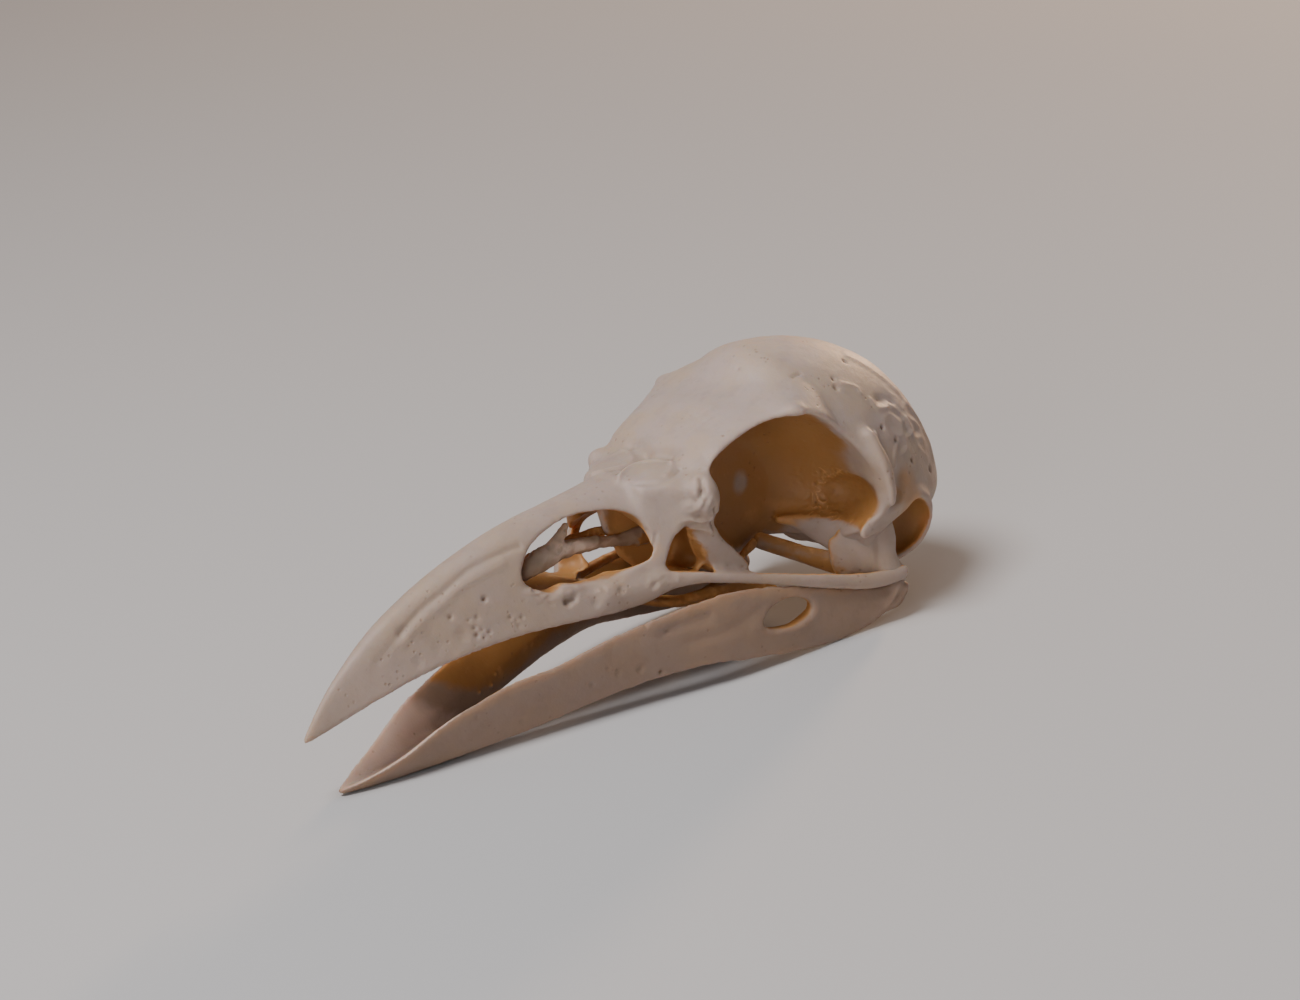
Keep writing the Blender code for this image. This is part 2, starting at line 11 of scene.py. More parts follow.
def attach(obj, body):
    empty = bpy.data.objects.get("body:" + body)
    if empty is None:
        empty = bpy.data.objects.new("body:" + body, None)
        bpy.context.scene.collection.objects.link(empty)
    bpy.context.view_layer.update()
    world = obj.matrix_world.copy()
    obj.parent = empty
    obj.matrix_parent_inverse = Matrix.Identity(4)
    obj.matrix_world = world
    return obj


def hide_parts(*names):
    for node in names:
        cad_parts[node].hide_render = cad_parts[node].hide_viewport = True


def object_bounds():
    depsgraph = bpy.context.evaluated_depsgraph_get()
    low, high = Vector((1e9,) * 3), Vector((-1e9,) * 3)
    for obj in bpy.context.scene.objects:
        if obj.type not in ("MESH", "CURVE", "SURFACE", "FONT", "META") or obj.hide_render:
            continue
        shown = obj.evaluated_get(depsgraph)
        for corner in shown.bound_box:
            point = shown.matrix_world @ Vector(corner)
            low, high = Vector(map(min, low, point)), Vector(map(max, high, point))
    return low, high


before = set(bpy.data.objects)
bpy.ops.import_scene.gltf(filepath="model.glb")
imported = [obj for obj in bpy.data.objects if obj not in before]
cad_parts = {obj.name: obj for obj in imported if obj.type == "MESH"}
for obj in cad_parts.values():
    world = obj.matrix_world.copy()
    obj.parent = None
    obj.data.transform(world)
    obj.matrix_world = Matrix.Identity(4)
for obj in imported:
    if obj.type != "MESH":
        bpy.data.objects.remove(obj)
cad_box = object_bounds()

# ---------------------------------------------------------------- upper beak
# A hollow bone with a rounded roof, sloping sides and sharp lower edges over a vaulted palate. All bones are
# modelled in millimetres along the skull's own axis, the beak's tip at x = 0 and the bird's left side at -y.
# Each is laid down when it is done: turned beak up until the lower jaw lies level, and set on the floor.
REST_SHIFT = Matrix.Translation((-0.046066, 0, 0.017384))
REST_TILT = Matrix.Rotation(math.radians(8), 4, "Y")
REST = REST_SHIFT @ REST_TILT @ Matrix.Scale(0.001, 4)
SIDES = (-1, 1)  # the bird's left and right

BEAK = (  # x, ridge height, edge height, half width at the edge, palate vault, fullness of the roof
    (-0.6, -9.75, -10.45, 0.26, 0.1, 0.5),
    (3.2, -4.3, -8.8, 1.25, 0.3, 0.5),
    (8.9, 1.2, -6.1, 2.95, 0.8, 0.5),
    (14.6, 4.9, -3.9, 4.2, 1.2, 0.5),
    (20.3, 7.7, -2.4, 5.15, 1.5, 0.52),
    (28.0, 10.6, -1.2, 6.15, 1.7, 0.54),
    (36.0, 12.5, -0.7, 7.0, 1.7, 0.58),
    (42.0, 13.8, -0.1, 7.7, 1.7, 0.66),
    (48.0, 15.0, 1.8, 8.6, 1.2, 0.8),
)


def smooth_rows(rows, count):
    """A short table of sections spread over count of them, on smooth curves through every row."""
    table = np.array(rows, dtype=float)
    padded = np.vstack([2 * table[0] - table[1], table, 2 * table[-1] - table[-2]])
    spread = []
    for step in np.linspace(0, len(table) - 1, count):
        start = min(int(step), len(table) - 2)
        t = step - start
        before, first, second, after = padded[start:start + 4]
        spread.append(
            (2 * t**3 - 3 * t**2 + 1) * first + (t**3 - 2 * t**2 + t) * (second - before) / 2
            + (3 * t**2 - 2 * t**3) * second + (t**3 - t**2) * (after - first) / 2
        )
    return spread


def bezier(p0, p1, p2, p3, count):
    """Points on a cubic curve, without its last point."""
    return [
        tuple((1 - t)**3 * a + 3 * (1 - t)**2 * t * b + 3 * (1 - t) * t * t * c + t**3 * d
              for a, b, c, d in zip(p0, p1, p2, p3))
        for t in np.linspace(0, 1, count, endpoint=False)
    ]


def mirrored(points):
    return [(x, -y, z) for x, y, z in reversed(points)]


def roll(mesh, rings):
    """Adds a closed body: a grid rolled into a tube over the given sections, with its ends filled."""
    rows, around = len(rings), len(rings[0])
    verts = bmesh.ops.create_grid(mesh, x_segments=rows - 1, y_segments=around, size=1)["verts"]
    for vert in verts:
        row = round((vert.co.x + 1) / 2 * (rows - 1))
        place = round((vert.co.y + 1) / 2 * around) % around
        vert.co = rings[row][place]
    bmesh.ops.remove_doubles(mesh, verts=verts, dist=1e-4)
    bmesh.ops.holes_fill(mesh, edges=[edge for edge in mesh.edges if edge.is_boundary], sides=0)


def beak_ring(x, top, low, half, vault, fullness):
    height = top - low
    side = bezier((x, 0, top), (x, fullness * half, top),
                  (x, (fullness + 0.1) * half, low + 0.6 * height), (x, half, low), 18)
    palate = bezier((x, half, low), (x, 0.8 * half, low + 0.4 * vault),
                    (x, 0.5 * half, low + vault), (x, 0, low + vault), 9)
    half_ring = side + palate
    return half_ring + [(x, 0, low + vault)] + mirrored(half_ring[1:])


solid = bmesh.new()
roll(solid, [beak_ring(*row) for row in smooth_rows(BEAK, 70)])

# ---------------------------------------------------------------- forehead and face
# Behind the hinge of the beak the frontal bones climb to the crown. They are flat between the eye sockets,
# and their edges are the brows. The face below them runs into the cheeks in front of the eye.
FACE = (  # x, height on the midline, rim y, rim z, lower y, lower z
    (44.6, 14.5, 5.6, 12.8, 8.0, 2.2),
    (47.0, 15.0, 7.0, 13.4, 8.8, 2.2),
    (49.4, 15.7, 8.8, 13.2, 9.3, 2.2),
    (51.2, 16.9, 9.5, 13.4, 9.4, 2.2),
    (52.8, 18.3, 9.4, 16.2, 9.3, 2.2),
    (56.5, 21.2, 9.6, 18.7, 8.6, 1.6),
    (60.0, 22.6, 10.7, 20.4, 8.0, 1.6),
    (63.4, 24.5, 12.8, 21.2, 8.0, 2.6),
    (67.0, 26.6, 13.2, 20.3, 8.0, 3.4),
    (71.0, 26.8, 13.0, 17.4, 8.0, 3.8),
)


def face_ring(x, top, rim_y, rim_z, low_y, low_z):
    roof = bezier((x, 0, top), (x, 0.55 * rim_y, top),
                  (x, 0.93 * rim_y, rim_z + 1.2), (x, rim_y, rim_z), 16)
    side = bezier((x, rim_y, rim_z), (x, rim_y, rim_z - 2.0),
                  (x, low_y, low_z + 2.0), (x, low_y, low_z), 10)
    half_ring = roof + side
    return half_ring + [(x, 0, low_z)] + mirrored(half_ring[1:])


roll(solid, [face_ring(*row) for row in smooth_rows(FACE, 60)])

# ---------------------------------------------------------------- braincase
# A long egg of thin bone, as wide as the head. Its front is short because the forehead takes over, its base
# is flat, its sides draw in below the temples, and the middle of its back is flatter than the egg.
BRAIN_CENTRE = Vector((68.8, 0.0, 5.5))
BRAIN_RADII = (26.6, 15.6, 22.1)
BRAIN_TILT = math.radians(-5.7)
BRAIN_FRONT = 10.0
BASE_DEPTH = 2.2
WAIST_Z, WAIST_SHARE = 8.4, 0.22
OCCIPUT_X, OCCIPUT_SHARE, OCCIPUT_HALF = 84.0, 0.2, 8.0

tilt = Matrix.Rotation(BRAIN_TILT, 4, "Y")
for vert in bmesh.ops.create_icosphere(solid, subdivisions=7, radius=1)["verts"]:
    point = Vector([a * b for a, b in zip(vert.co, BRAIN_RADII)])
    if point.x < 0:
        point.x *= BRAIN_FRONT / BRAIN_RADII[0]
    point = tilt @ point
    if point.z < 0:
        point.z *= BASE_DEPTH / BRAIN_RADII[2]
    point += BRAIN_CENTRE
    depth = min(max((WAIST_Z - point.z) / (WAIST_Z - BRAIN_CENTRE.z + BASE_DEPTH), 0), 1)
    point.y *= 1 - WAIST_SHARE * depth * depth * (3 - 2 * depth)
    if point.x > OCCIPUT_X:
        middle = max(1 - (point.y / OCCIPUT_HALF) ** 2, 0)
        point.x -= (point.x - OCCIPUT_X) * OCCIPUT_SHARE * middle
    vert.co = point


def ball(mesh, centre, radii, turn=(0, 0, 0)):
    """Adds an ellipsoid. turn holds its rotations about X, Y and Z in degrees."""
    place = Matrix.Translation(centre)
    for axis, angle in zip("ZYX", reversed(turn)):
        place = place @ Matrix.Rotation(math.radians(angle), 4, axis)
    bmesh.ops.create_icosphere(mesh, subdivisions=5, radius=1, matrix=place @ Matrix.Diagonal((*radii, 1)))


# the base, with the knob that meets the neck, and the capsules of the ears
ball(solid, (81.2, 0, 4.2), (7.6, 8.8, 3.6))
ball(solid, (89.4, 0, 3.2), (1.5, 1.3, 1.2))
for s in SIDES:
    ball(solid, (82.0, s * 8.2, 6.2), (5.2, 4.6, 5.0))
    ball(solid, (83.4, s * 7.0, 3.0), (4.8, 3.9, 4.0))

# ---------------------------------------------------------------- lacrimal bones
# A knob of bone at the front corner of each eye socket, with two bony plates that slant down and back below
# it, between the face and the eye. They are grown to the forehead, and laid in after the openings are cut.
OUTER_PLATE = ((50.8, 9.1, 11.6, 1.3, 1.2), (51.8, 8.9, 8.8, 1.2, 0.9), (53.2, 8.6, 6.2, 1.7, 0.65),
               (55.1, 8.5, 4.0, 2.2, 0.55), (57.2, 8.7, 2.6, 1.8, 0.5), (58.4, 8.9, 2.0, 1.2, 0.45))
INNER_PLATE = ((50.6, 8.1, 9.2, 0.8, 0.6), (51.5, 7.5, 7.0, 1.0, 0.5), (53.1, 7.0, 4.8, 1.1, 0.5),
               (55.0, 7.2, 3.0, 1.1, 0.45), (56.4, 7.6, 2.0, 0.9, 0.4))
RIGHT_STRUT = ((47.6, 8.2, 9.4, 0.9, 0.8), (46.3, 8.4, 6.6, 0.65, 0.6), (45.2, 8.5, 4.6, 0.65, 0.6),
               (44.5, 8.5, 3.0, 0.7, 0.7), (43.9, 8.3, 1.2, 0.9, 0.9))


def on_side(rows, s):
    """Rows that are given for the bird's right side, laid on side s."""
    return [(x, s * y, *rest) for x, y, *rest in rows]


def rod(mesh, rows, steps=40, flat_axis=(0, 0, 1)):
    """Adds a rounded bar. A row holds its centre x, y, z, half its width, and half its height, which is
    measured along flat_axis."""
    around = 20
    table = smooth_rows(rows, steps)
    rings = []
    for i, row in enumerate(table):
        along = Vector(table[min(i + 1, steps - 1)][:3]) - Vector(table[max(i - 1, 0)][:3])
        side = Vector(flat_axis).cross(along).normalized()
        up = along.normalized().cross(side)
        rings.append([
            Vector(row[:3]) + side * row[3] * math.cos(a) + up * row[4] * math.sin(a)
            for a in (2 * math.pi * k / around for k in range(around))
        ])
    tips = []
    for end, inner in ((0, 1), (-1, -2)):
        tip = Vector(table[end][:3])
        onwards = (tip - Vector(table[inner][:3])).normalized() * min(table[end][3:5])
        tips.append([[tip + (p - tip) * share + onwards * reach for p in rings[end]]
                     for share, reach in ((0.8, 0.45), (0.4, 0.8))])
    roll(mesh, tips[0][::-1] + rings + tips[1])


free_bones = bmesh.new()
for s in SIDES:
    ball(free_bones, (51.4, s * 8.7, 12.0), (2.3, 2.0 - 0.2 * s, 3.2), (0, -6, 0))
    rod(free_bones, on_side(OUTER_PLATE, s), flat_axis=(-0.55 * s, 1, 0))
    rod(free_bones, on_side(INNER_PLATE, s), flat_axis=(-1.0 * s, 1, 0))
# on the right only: a fuller brow corner, and the strut behind the nostril, which is cut wider there
ball(free_bones, (50.9, 8.5, 13.9), (2.1, 1.6, 1.6))
rod(free_bones, RIGHT_STRUT)

# ---------------------------------------------------------------- wall between the eyes
# One thin plate of bone parts the eye sockets and reaches forward between the nostrils. A rounded bar along
# its lower edge carries the palate.
SEPTUM_HALF = 0.45
SEPTUM = ((45.8, 4.4), (44.8, 6.4), (43.4, 8.4), (43.4, 12.0), (52.0, 16.0), (60.0, 21.5), (68.0, 22.0),
          (72.0, 14.0), (73.5, 6.8), (69.6, 5.0), (66.0, 2.9), (60.0, 0.9), (51.0, 1.2))


def closed_outline(outline, count):
    """A few points in x and z spread over count of them, on a smooth closed curve."""
    return smooth_rows([*outline, outline[0]], count + 1)[:-1]


def upright_slice(mesh, outline, y_from, y_to):
    """Adds a smooth closed outline, drawn out along y."""
    roll(mesh, [[(x, y, z) for x, z in closed_outline(outline, 72)] for y in (y_from, y_to)])


upright_slice(free_bones, SEPTUM, -SEPTUM_HALF, SEPTUM_HALF)
rod(free_bones, [(47.0, 0, 0.6, 0.9, 0.8), (56.0, 0, 0.4, 1.1, 1.1), (62.0, 0, 1.4, 1.0, 1.0),
                 (67.0, 0, 3.5, 0.9, 0.7), (71.0, 0, 5.9, 1.2, 0.8), (76.0, 0, 6.4, 2.6, 1.6)])

# ---------------------------------------------------------------- cheek bars
# The jugal bars are slim rods of bone. They grow out of the rear corners of the beak and run back under the
# eyes to the quadrates, where each ends in a small upturned knob. The right one's root lies a little lower.
LEFT_JUGAL_ROOT = ((38.0, 6.4, 1.6, 0.9, 1.8), (43.0, 7.2, 1.8, 0.9, 1.7), (46.5, 8.3, 2.7, 0.8, 1.25),
                   (50.2, 9.3, 2.75, 0.65, 0.85), (54.0, 10.0, 2.25, 0.6, 0.8))
RIGHT_JUGAL_ROOT = ((38.0, 6.3, 0.4, 0.9, 0.9), (43.0, 7.2, 0.3, 0.9, 0.9), (47.6, 8.4, 0.6, 0.8, 0.9),
                    (51.0, 9.3, 1.0, 0.65, 0.85), (55.0, 10.2, 1.4, 0.6, 0.85))
JUGAL_BAR = ((60.4, 11.3, 1.35, 0.65, 0.9), (65.4, 12.2, 0.5, 0.65, 0.95), (71.2, 13.0, -0.45, 0.7, 1.1),
             (75.2, 13.5, -0.85, 0.75, 1.2), (78.6, 13.8, -0.7, 0.85, 1.1), (79.9, 13.9, -0.3, 0.85, 1.0))
for s, root in zip(SIDES, (LEFT_JUGAL_ROOT, RIGHT_JUGAL_ROOT)):
    rod(free_bones, on_side(root + JUGAL_BAR, s), 90)

# ---------------------------------------------------------------- openings of the upper skull
# The eye sockets are round bowls that narrow towards the wall between them and stay open below. One hollow
# lies between the long nostrils and runs back to a gap in the face before each eye. More pockets lie behind
# the eyes, at the temples and at the ears, and the hole for the spinal cord is at the back.
ORBIT_RIM = (  # x and z
    (52.0, 14.4), (53.0, 16.4), (56.1, 18.3), (60.1, 20.2), (64.3, 20.9), (67.9, 19.5), (70.6, 17.3),
    (73.0, 14.8), (74.7, 11.8), (75.2, 8.2), (73.4, 4.4), (74.4, 1.0), (68.0, -4.0), (60.4, 0.6), (54.6, 5.0),
    (51.0, 8.6), (51.6, 11.8),
)
ORBIT_CENTRE = (63.5, 10.0)
ORBIT_DEPTHS = (  # distance from the middle plane, and the share of the rim's size that is left there
    (20.0, 1.0), (12.5, 1.0), (8.5, 0.98), (5.5, 0.88), (2.5, 0.74), (0.6, 0.55),
)
LEFT_NOSTRIL = (
    (28.4, 6.1), (30.1, 8.4), (33.6, 10.2), (37.4, 11.1), (41.6, 11.2), (44.3, 10.2),
    (44.8, 7.9), (43.8, 5.6), (41.2, 4.2), (38.2, 3.6), (35.4, 3.6), (33.6, 3.9), (32.2, 3.1), (30.4, 3.5),
    (28.4, 4.7),
)
RIGHT_NOSTRIL = (  # its rear edge stands further forward and its lower rim is worn down
    (28.4, 6.1), (30.1, 8.4), (33.6, 10.2), (37.4, 11.0), (40.6, 10.6), (42.2, 9.2),
    (43.4, 6.4), (45.2, 3.2), (44.6, 1.8), (41.4, 1.8), (37.6, 2.9), (32.4, 3.8), (29.0, 4.8),
)
LEFT_FACE_GAP = (
    (46.3, 3.9), (47.1, 5.9), (48.2, 8.2), (50.0, 9.2), (51.6, 7.8), (53.2, 5.2), (55.4, 2.7), (50.0, 3.3),
)
RIGHT_FACE_GAP = (
    (46.2, 2.2), (46.4, 5.4), (47.2, 7.8), (49.6, 9.0), (51.8, 6.6), (54.2, 2.4), (50.0, 1.9),
)


def orbit_ring(y, share):
    mid_x, mid_z = ORBIT_CENTRE
    return [(mid_x + (x - mid_x) * share, y, mid_z + (z - mid_z) * share)
            for x, z in closed_outline(ORBIT_RIM, 96)]


hollow = bmesh.new()
for s in SIDES:
    roll(hollow, [orbit_ring(s * y, share) for y, share in smooth_rows(ORBIT_DEPTHS, 40)])
    ball(hollow, (74.4, s * 9.8, 8.9), (2.2, 4.2, 2.7), (0, 15, 0))
    ball(hollow, (74.0, s * 12.6, 9.2), (1.6, 2.0, 2.2))
    ball(hollow, (82.4, s * 13.2, 3.9), (4.3, 5.0, 4.3), (0, 10, 0))
    ball(hollow, (79.4, s * 19.6, 11.4), (4.4, 6.4, 5.6), (0, 20, 0))
    ball(hollow, (78.3, s * 16.9, 10.4), (2.3, 3.4, 5.0), (0, 20, 0))
upright_slice(hollow, LEFT_NOSTRIL, -12, -0.3)
upright_slice(hollow, RIGHT_NOSTRIL, 0.3, 12)
upright_slice(hollow, LEFT_FACE_GAP, -13, -3)
upright_slice(hollow, RIGHT_FACE_GAP, 3, 13)
ball(hollow, (38.4, 0, 6.6), (10.4, 4.4, 4.8), (0, -9, 0))
ball(hollow, (46.4, 0, 5.6), (6.4, 7.2, 4.5))
ball(hollow, (91.4, 0, 5.0), (3.6, 2.9, 2.9), (0, 35, 0))

# ---------------------------------------------------------------- processes of the temple
# Behind each eye a blunt finger of bone hangs from the brow, and a flatter one lies below it, above the jaw
# joint. A thin curved rim stands round the ear, and a broad wing runs from the base out to the quadrate.
UPPER_FINGER = ((74.0, 13.3, 17.4, 0.8, 0.8), (74.9, 14.6, 14.4, 0.9, 0.8), (75.6, 15.3, 11.6, 0.9, 0.75),
                (76.0, 15.4, 8.9, 0.85, 0.7))
LOWER_FINGER = ((80.6, 12.9, 8.4, 0.9, 1.7), (79.2, 13.0, 7.6, 0.7, 1.6), (77.3, 13.1, 6.8, 0.55, 1.6),
                (75.7, 13.3, 6.1, 0.5, 1.5), (74.1, 13.3, 5.4, 0.5, 1.15), (73.2, 13.3, 4.8, 0.45, 0.75))
EAR_RIM = ((79.6, 13.6, 8.0, 0.5, 0.8), (83.0, 13.2, 8.6, 0.45, 0.8), (85.9, 12.2, 6.9, 0.4, 0.7),
           (86.5, 11.6, 4.6, 0.4, 0.6), (85.4, 11.2, 2.2, 0.4, 0.6), (83.2, 10.6, 0.7, 0.45, 0.6),
           (80.8, 10.4, 0.2, 0.6, 0.7))
BASE_WING = ((69.0, 2.6, 5.7, 0.5, 0.6), (70.8, 4.2, 5.5, 0.5, 1.0), (72.4, 6.2, 4.8, 0.5, 1.9),
             (73.8, 8.6, 3.9, 0.5, 2.4), (75.4, 10.9, 3.9, 0.5, 2.3), (77.2, 12.4, 4.3, 0.5, 2.0))
for s in SIDES:
    for rows, steps in ((UPPER_FINGER, 40), (LOWER_FINGER, 40), (EAR_RIM, 40), (BASE_WING, 30)):
        rod(free_bones, on_side(rows, s), steps)

# ---------------------------------------------------------------- the skull as one bone
# In a grown bird all of this is one bone with no seams. The bodies are fused, hollowed and smoothed here, so
# that every junction has a soft fillet. The first cells are coarse, and the skin gets finer ones.
BODY_CELL = 0.3
SKULL_SKIN_CELL = 0.22
SKULL_TRIANGLES = 190000


def to_object(mesh, name):
    bmesh.ops.recalc_face_normals(mesh, faces=mesh.faces)
    data = bpy.data.meshes.new(name)
    mesh.to_mesh(data)
    mesh.free()
    thing = bpy.data.objects.new(name, data)
    bpy.context.scene.collection.objects.link(thing)
    return thing


def shape(thing, kind, **settings):
    """Runs one modifier on a mesh and keeps its result."""
    step = thing.modifiers.new(kind.lower(), kind)
    for key, value in settings.items():
        setattr(step, key, value)
    bpy.context.view_layer.update()
    result = bpy.data.meshes.new_from_object(thing.evaluated_get(bpy.context.evaluated_depsgraph_get()))
    old = thing.data
    thing.modifiers.clear()
    thing.data = result
    bpy.data.meshes.remove(old)


def fuse(thing, cell):
    """Makes one closed skin of all bodies in a mesh, with cells of the given size."""
    shape(thing, "REMESH", mode="VOXEL", voxel_size=cell)


def soften(thing, rounds):
    shape(thing, "SMOOTH", factor=0.5, iterations=rounds)


def thin_out(thing, triangles):
    """Lightens a mesh of four-sided faces to about the given number of triangles."""
    shape(thing, "DECIMATE", ratio=min(1.0, triangles / (2 * len(thing.data.vertices))))


def fillet(thing, radius, cell):
    """Rounds the inner corners: the surface is swollen, fused and drawn back."""
    shape(thing, "DISPLACE", strength=radius, mid_level=0)
    fuse(thing, cell)
    soften(thing, 2)
    shape(thing, "DISPLACE", strength=-radius, mid_level=0)
    fuse(thing, cell)


def remove(thing):
    data = thing.data
    bpy.data.objects.remove(thing)
    bpy.data.meshes.remove(data)


def cut(thing, other):
    shape(thing, "BOOLEAN", operation="DIFFERENCE", solver="EXACT", object=other)
    remove(other)


def lay_together(thing, other):
    """Puts two bodies into one mesh, for the next fuse to make one of them."""
    both = bmesh.new()
    both.from_mesh(thing.data)
    both.from_mesh(other.data)
    both.to_mesh(thing.data)
    both.free()
    remove(other)


skull = to_object(solid, "skull")
fuse(skull, BODY_CELL)
openings = to_object(hollow, "openings")
fuse(openings, BODY_CELL)
cut(skull, openings)
bars_and_spurs = to_object(free_bones, "bars_and_spurs")
fuse(bars_and_spurs, BODY_CELL)
lay_together(skull, bars_and_spurs)
fuse(skull, BODY_CELL)
fillet(skull, 0.45, BODY_CELL)
soften(skull, 3)

# The surface is worked over once the body is whole. The places lie on the bird's left side and are repeated
# on its right, moved a little there because no two sides of a real bone are scarred alike.
LEFT_LINES = (  # half width, height (a groove is negative), then the points of the line
    # the long groove that runs from the nostril towards the tip of the beak, and the smooth lip below it
    (0.45, -0.22, (28.6, -3.0, 8.9), (26.1, -2.6, 8.3), (22.0, -2.2, 7.1), (18.4, -2.2, 5.2),
     (15.0, -2.0, 3.4), (12.1, -2.0, 1.1)),
    (0.5, -0.1, (12.6, -2.0, 1.6), (10.4, -1.9, -0.4), (9.0, -1.8, -1.6)),
    (0.6, 0.16, (26.0, -3.3, 7.4), (20.4, -2.8, 5.5), (17.5, -2.8, 3.8), (14.5, -2.6, 2.1),
     (12.1, -2.5, 0.3)),
    # folds and hollows where the beak bends against the forehead
    (1.0, -0.7, (50.0, -0.3, 16.0), (50.5, -1.4, 16.3), (50.9, -2.7, 16.5), (50.9, -3.5, 16.3)),
    (0.5, -0.3, (45.3, -0.7, 14.6), (47.3, 0.0, 15.1), (48.9, 0.5, 15.5)),
    (0.34, 0.34, (43.8, -2.4, 14.2), (44.6, -1.9, 14.4), (46.8, -0.6, 15.0), (48.3, -0.6, 15.3),
     (49.3, -1.6, 15.6), (50.4, -3.7, 16.0), (50.4, -4.5, 15.8)),
    (0.4, 0.16, (50.3, -4.7, 15.7), (49.6, -5.4, 15.2), (48.4, -5.8, 14.7)),
    (0.35, -0.22, (44.6, -3.9, 14.0), (46.7, -6.0, 13.9), (48.4, -6.4, 14.1), (50.2, -6.1, 15.0)),
    # creases and folds of the lacrimal knob
    (0.45, -0.42, (50.5, -9.7, 14.7), (50.3, -10.1, 13.8), (49.9, -10.4, 13.0), (49.3, -10.4, 12.3),
     (48.9, -10.0, 11.4)),
    (0.32, -0.35, (50.6, -11.0, 12.5), (49.8, -10.7, 11.2), (49.8, -9.6, 9.2)),
    (0.32, -0.3, (51.6, -11.0, 11.8), (51.2, -10.6, 10.0), (51.8, -9.8, 8.0)),
    (0.3, 0.25, (51.1, -11.0, 12.6), (50.3, -10.8, 10.6), (50.6, -9.9, 8.4)),
    (0.3, 0.2, (50.0, -10.4, 12.0), (49.0, -10.0, 10.4), (48.9, -9.2, 8.8)),
    (0.34, -0.34, (49.2, -9.9, 12.2), (48.9, -9.6, 10.8), (48.9, -9.3, 9.4)),
    (0.34, -0.34, (51.9, -10.6, 11.0), (52.2, -9.9, 9.4), (52.6, -9.4, 8.2)),
    (0.3, 0.24, (51.5, -10.8, 11.6), (51.5, -10.2, 9.6), (52.0, -9.6, 8.0)),
    # small folds on the strut behind the nostril
    (0.3, -0.2, (44.8, -6.3, 8.8), (45.0, -6.7, 8.3), (44.7, -6.8, 7.2)),
    (0.3, -0.16, (45.7, -7.1, 8.3), (45.5, -7.2, 7.5), (45.1, -7.2, 6.7)),
    (0.3, -0.16, (44.2, -8.3, 2.4), (44.8, -8.4, 2.9), (45.8, -8.5, 3.4)),
    (0.3, -0.14, (34.8, -5.9, 2.8), (34.3, -5.6, 3.5), (33.4, -5.4, 3.6)),
    (0.22, -0.1, (29.1, -4.5, 4.3), (29.5, -4.9, 3.6), (30.3, -5.3, 2.7), (31.3, -5.6, 2.0)),
    # faint scratches on the forehead and muscle scars on the crown
    (0.25, -0.06, (53.4, -4.0, 18.6), (56.9, -5.2, 20.9), (60.8, -5.4, 22.9)),
    (0.25, -0.05, (55.5, -3.4, 20.2), (57.4, -3.8, 21.5), (59.0, -4.1, 22.2)),
    (0.28, -0.2, (66.6, -8.0, 24.5), (67.9, -7.8, 24.6)),
    (0.35, 0.12, (73.3, -9.3, 23.0), (75.5, -9.5, 22.3), (75.9, -10.0, 21.6)),
    (0.35, 0.14, (77.2, -10.3, 20.7), (78.0, -10.9, 19.5), (79.9, -10.4, 19.3)),
    (0.6, -0.26, (78.9, -10.0, 20.4), (80.5, -9.6, 20.2), (81.6, -9.5, 19.7)),
    (0.6, 0.16, (78.2, -5.2, 25.1), (81.0, -6.2, 23.4), (84.0, -7.3, 20.8), (85.8, -8.0, 18.6),
     (88.0, -8.3, 15.7), (89.1, -8.7, 13.2), (89.4, -9.2, 11.3)),
    (0.45, 0.15, (81.4, -10.0, 19.2), (83.3, -10.2, 17.5), (83.9, -10.8, 15.7)),
    # the sharp crest that runs up from the temple
    (0.4, 0.3, (75.6, -12.8, 17.0), (75.2, -13.6, 16.0), (75.6, -14.6, 14.4), (76.4, -15.4, 12.2),
     (76.6, -15.6, 10.2)),
    (0.35, 0.16, (78.3, -13.6, 12.9), (78.5, -13.3, 14.0), (79.7, -12.6, 15.2)),
)
LEFT_PITS = (  # x, y, z, radius, depth
    (22.8, -4.0, 3.8, 0.34, 0.6), (33.4, -5.8, 2.0, 0.5, 0.75), (34.2, -5.8, 2.2, 0.45, 0.6),
    (18.3, -3.3, 2.3, 0.3, 0.3), (21.5, -4.1, 1.9, 0.3, 0.2), (20.4, -3.9, 1.7, 0.22, 0.2),
    (25.6, -5.1, 1.4, 0.26, 0.25), (26.3, -5.2, 0.9, 0.22, 0.15), (27.1, -5.3, 1.2, 0.26, 0.2),
    (20.9, -4.5, 0.8, 0.3, 0.3), (21.8, -4.7, 0.5, 0.22, 0.25), (22.7, -4.8, 0.1, 0.26, 0.25),
    (21.1, -4.6, 0.0, 0.34, 0.35), (21.9, -4.9, -0.4, 0.2, 0.25), (19.3, -4.1, 0.2, 0.8, 0.2),
    (26.5, -5.4, 0.3, 0.3, 0.15), (16.5, -3.7, -0.5, 0.9, 0.22), (15.4, -3.3, 0.6, 0.7, 0.14),
    (13.6, -3.4, -2.1, 0.6, 0.14), (17.6, -4.2, -1.6, 0.7, 0.14), (37.0, -6.6, 1.5, 0.5, 0.2),
    (40.2, -7.4, 2.6, 0.4, 0.25), (38.0, -6.8, 2.9, 0.35, 0.25), (42.4, -7.9, 3.6, 0.3, 0.25),
    (50.1, -10.4, 13.2, 0.5, 0.4), (72.5, -8.9, 23.6, 0.3, 0.4), (72.1, -9.8, 22.7, 0.4, 0.35),
    (76.8, -6.3, 24.8, 0.3, 0.4), (77.6, -12.2, 17.5, 0.3, 0.5), (79.7, -12.4, 15.7, 0.4, 0.4),
    (82.5, -12.5, 12.8, 0.38, 0.45), (87.5, -10.6, 10.7, 0.4, 0.45), (62.9, -2.4, 25.1, 0.3, 0.2),
)
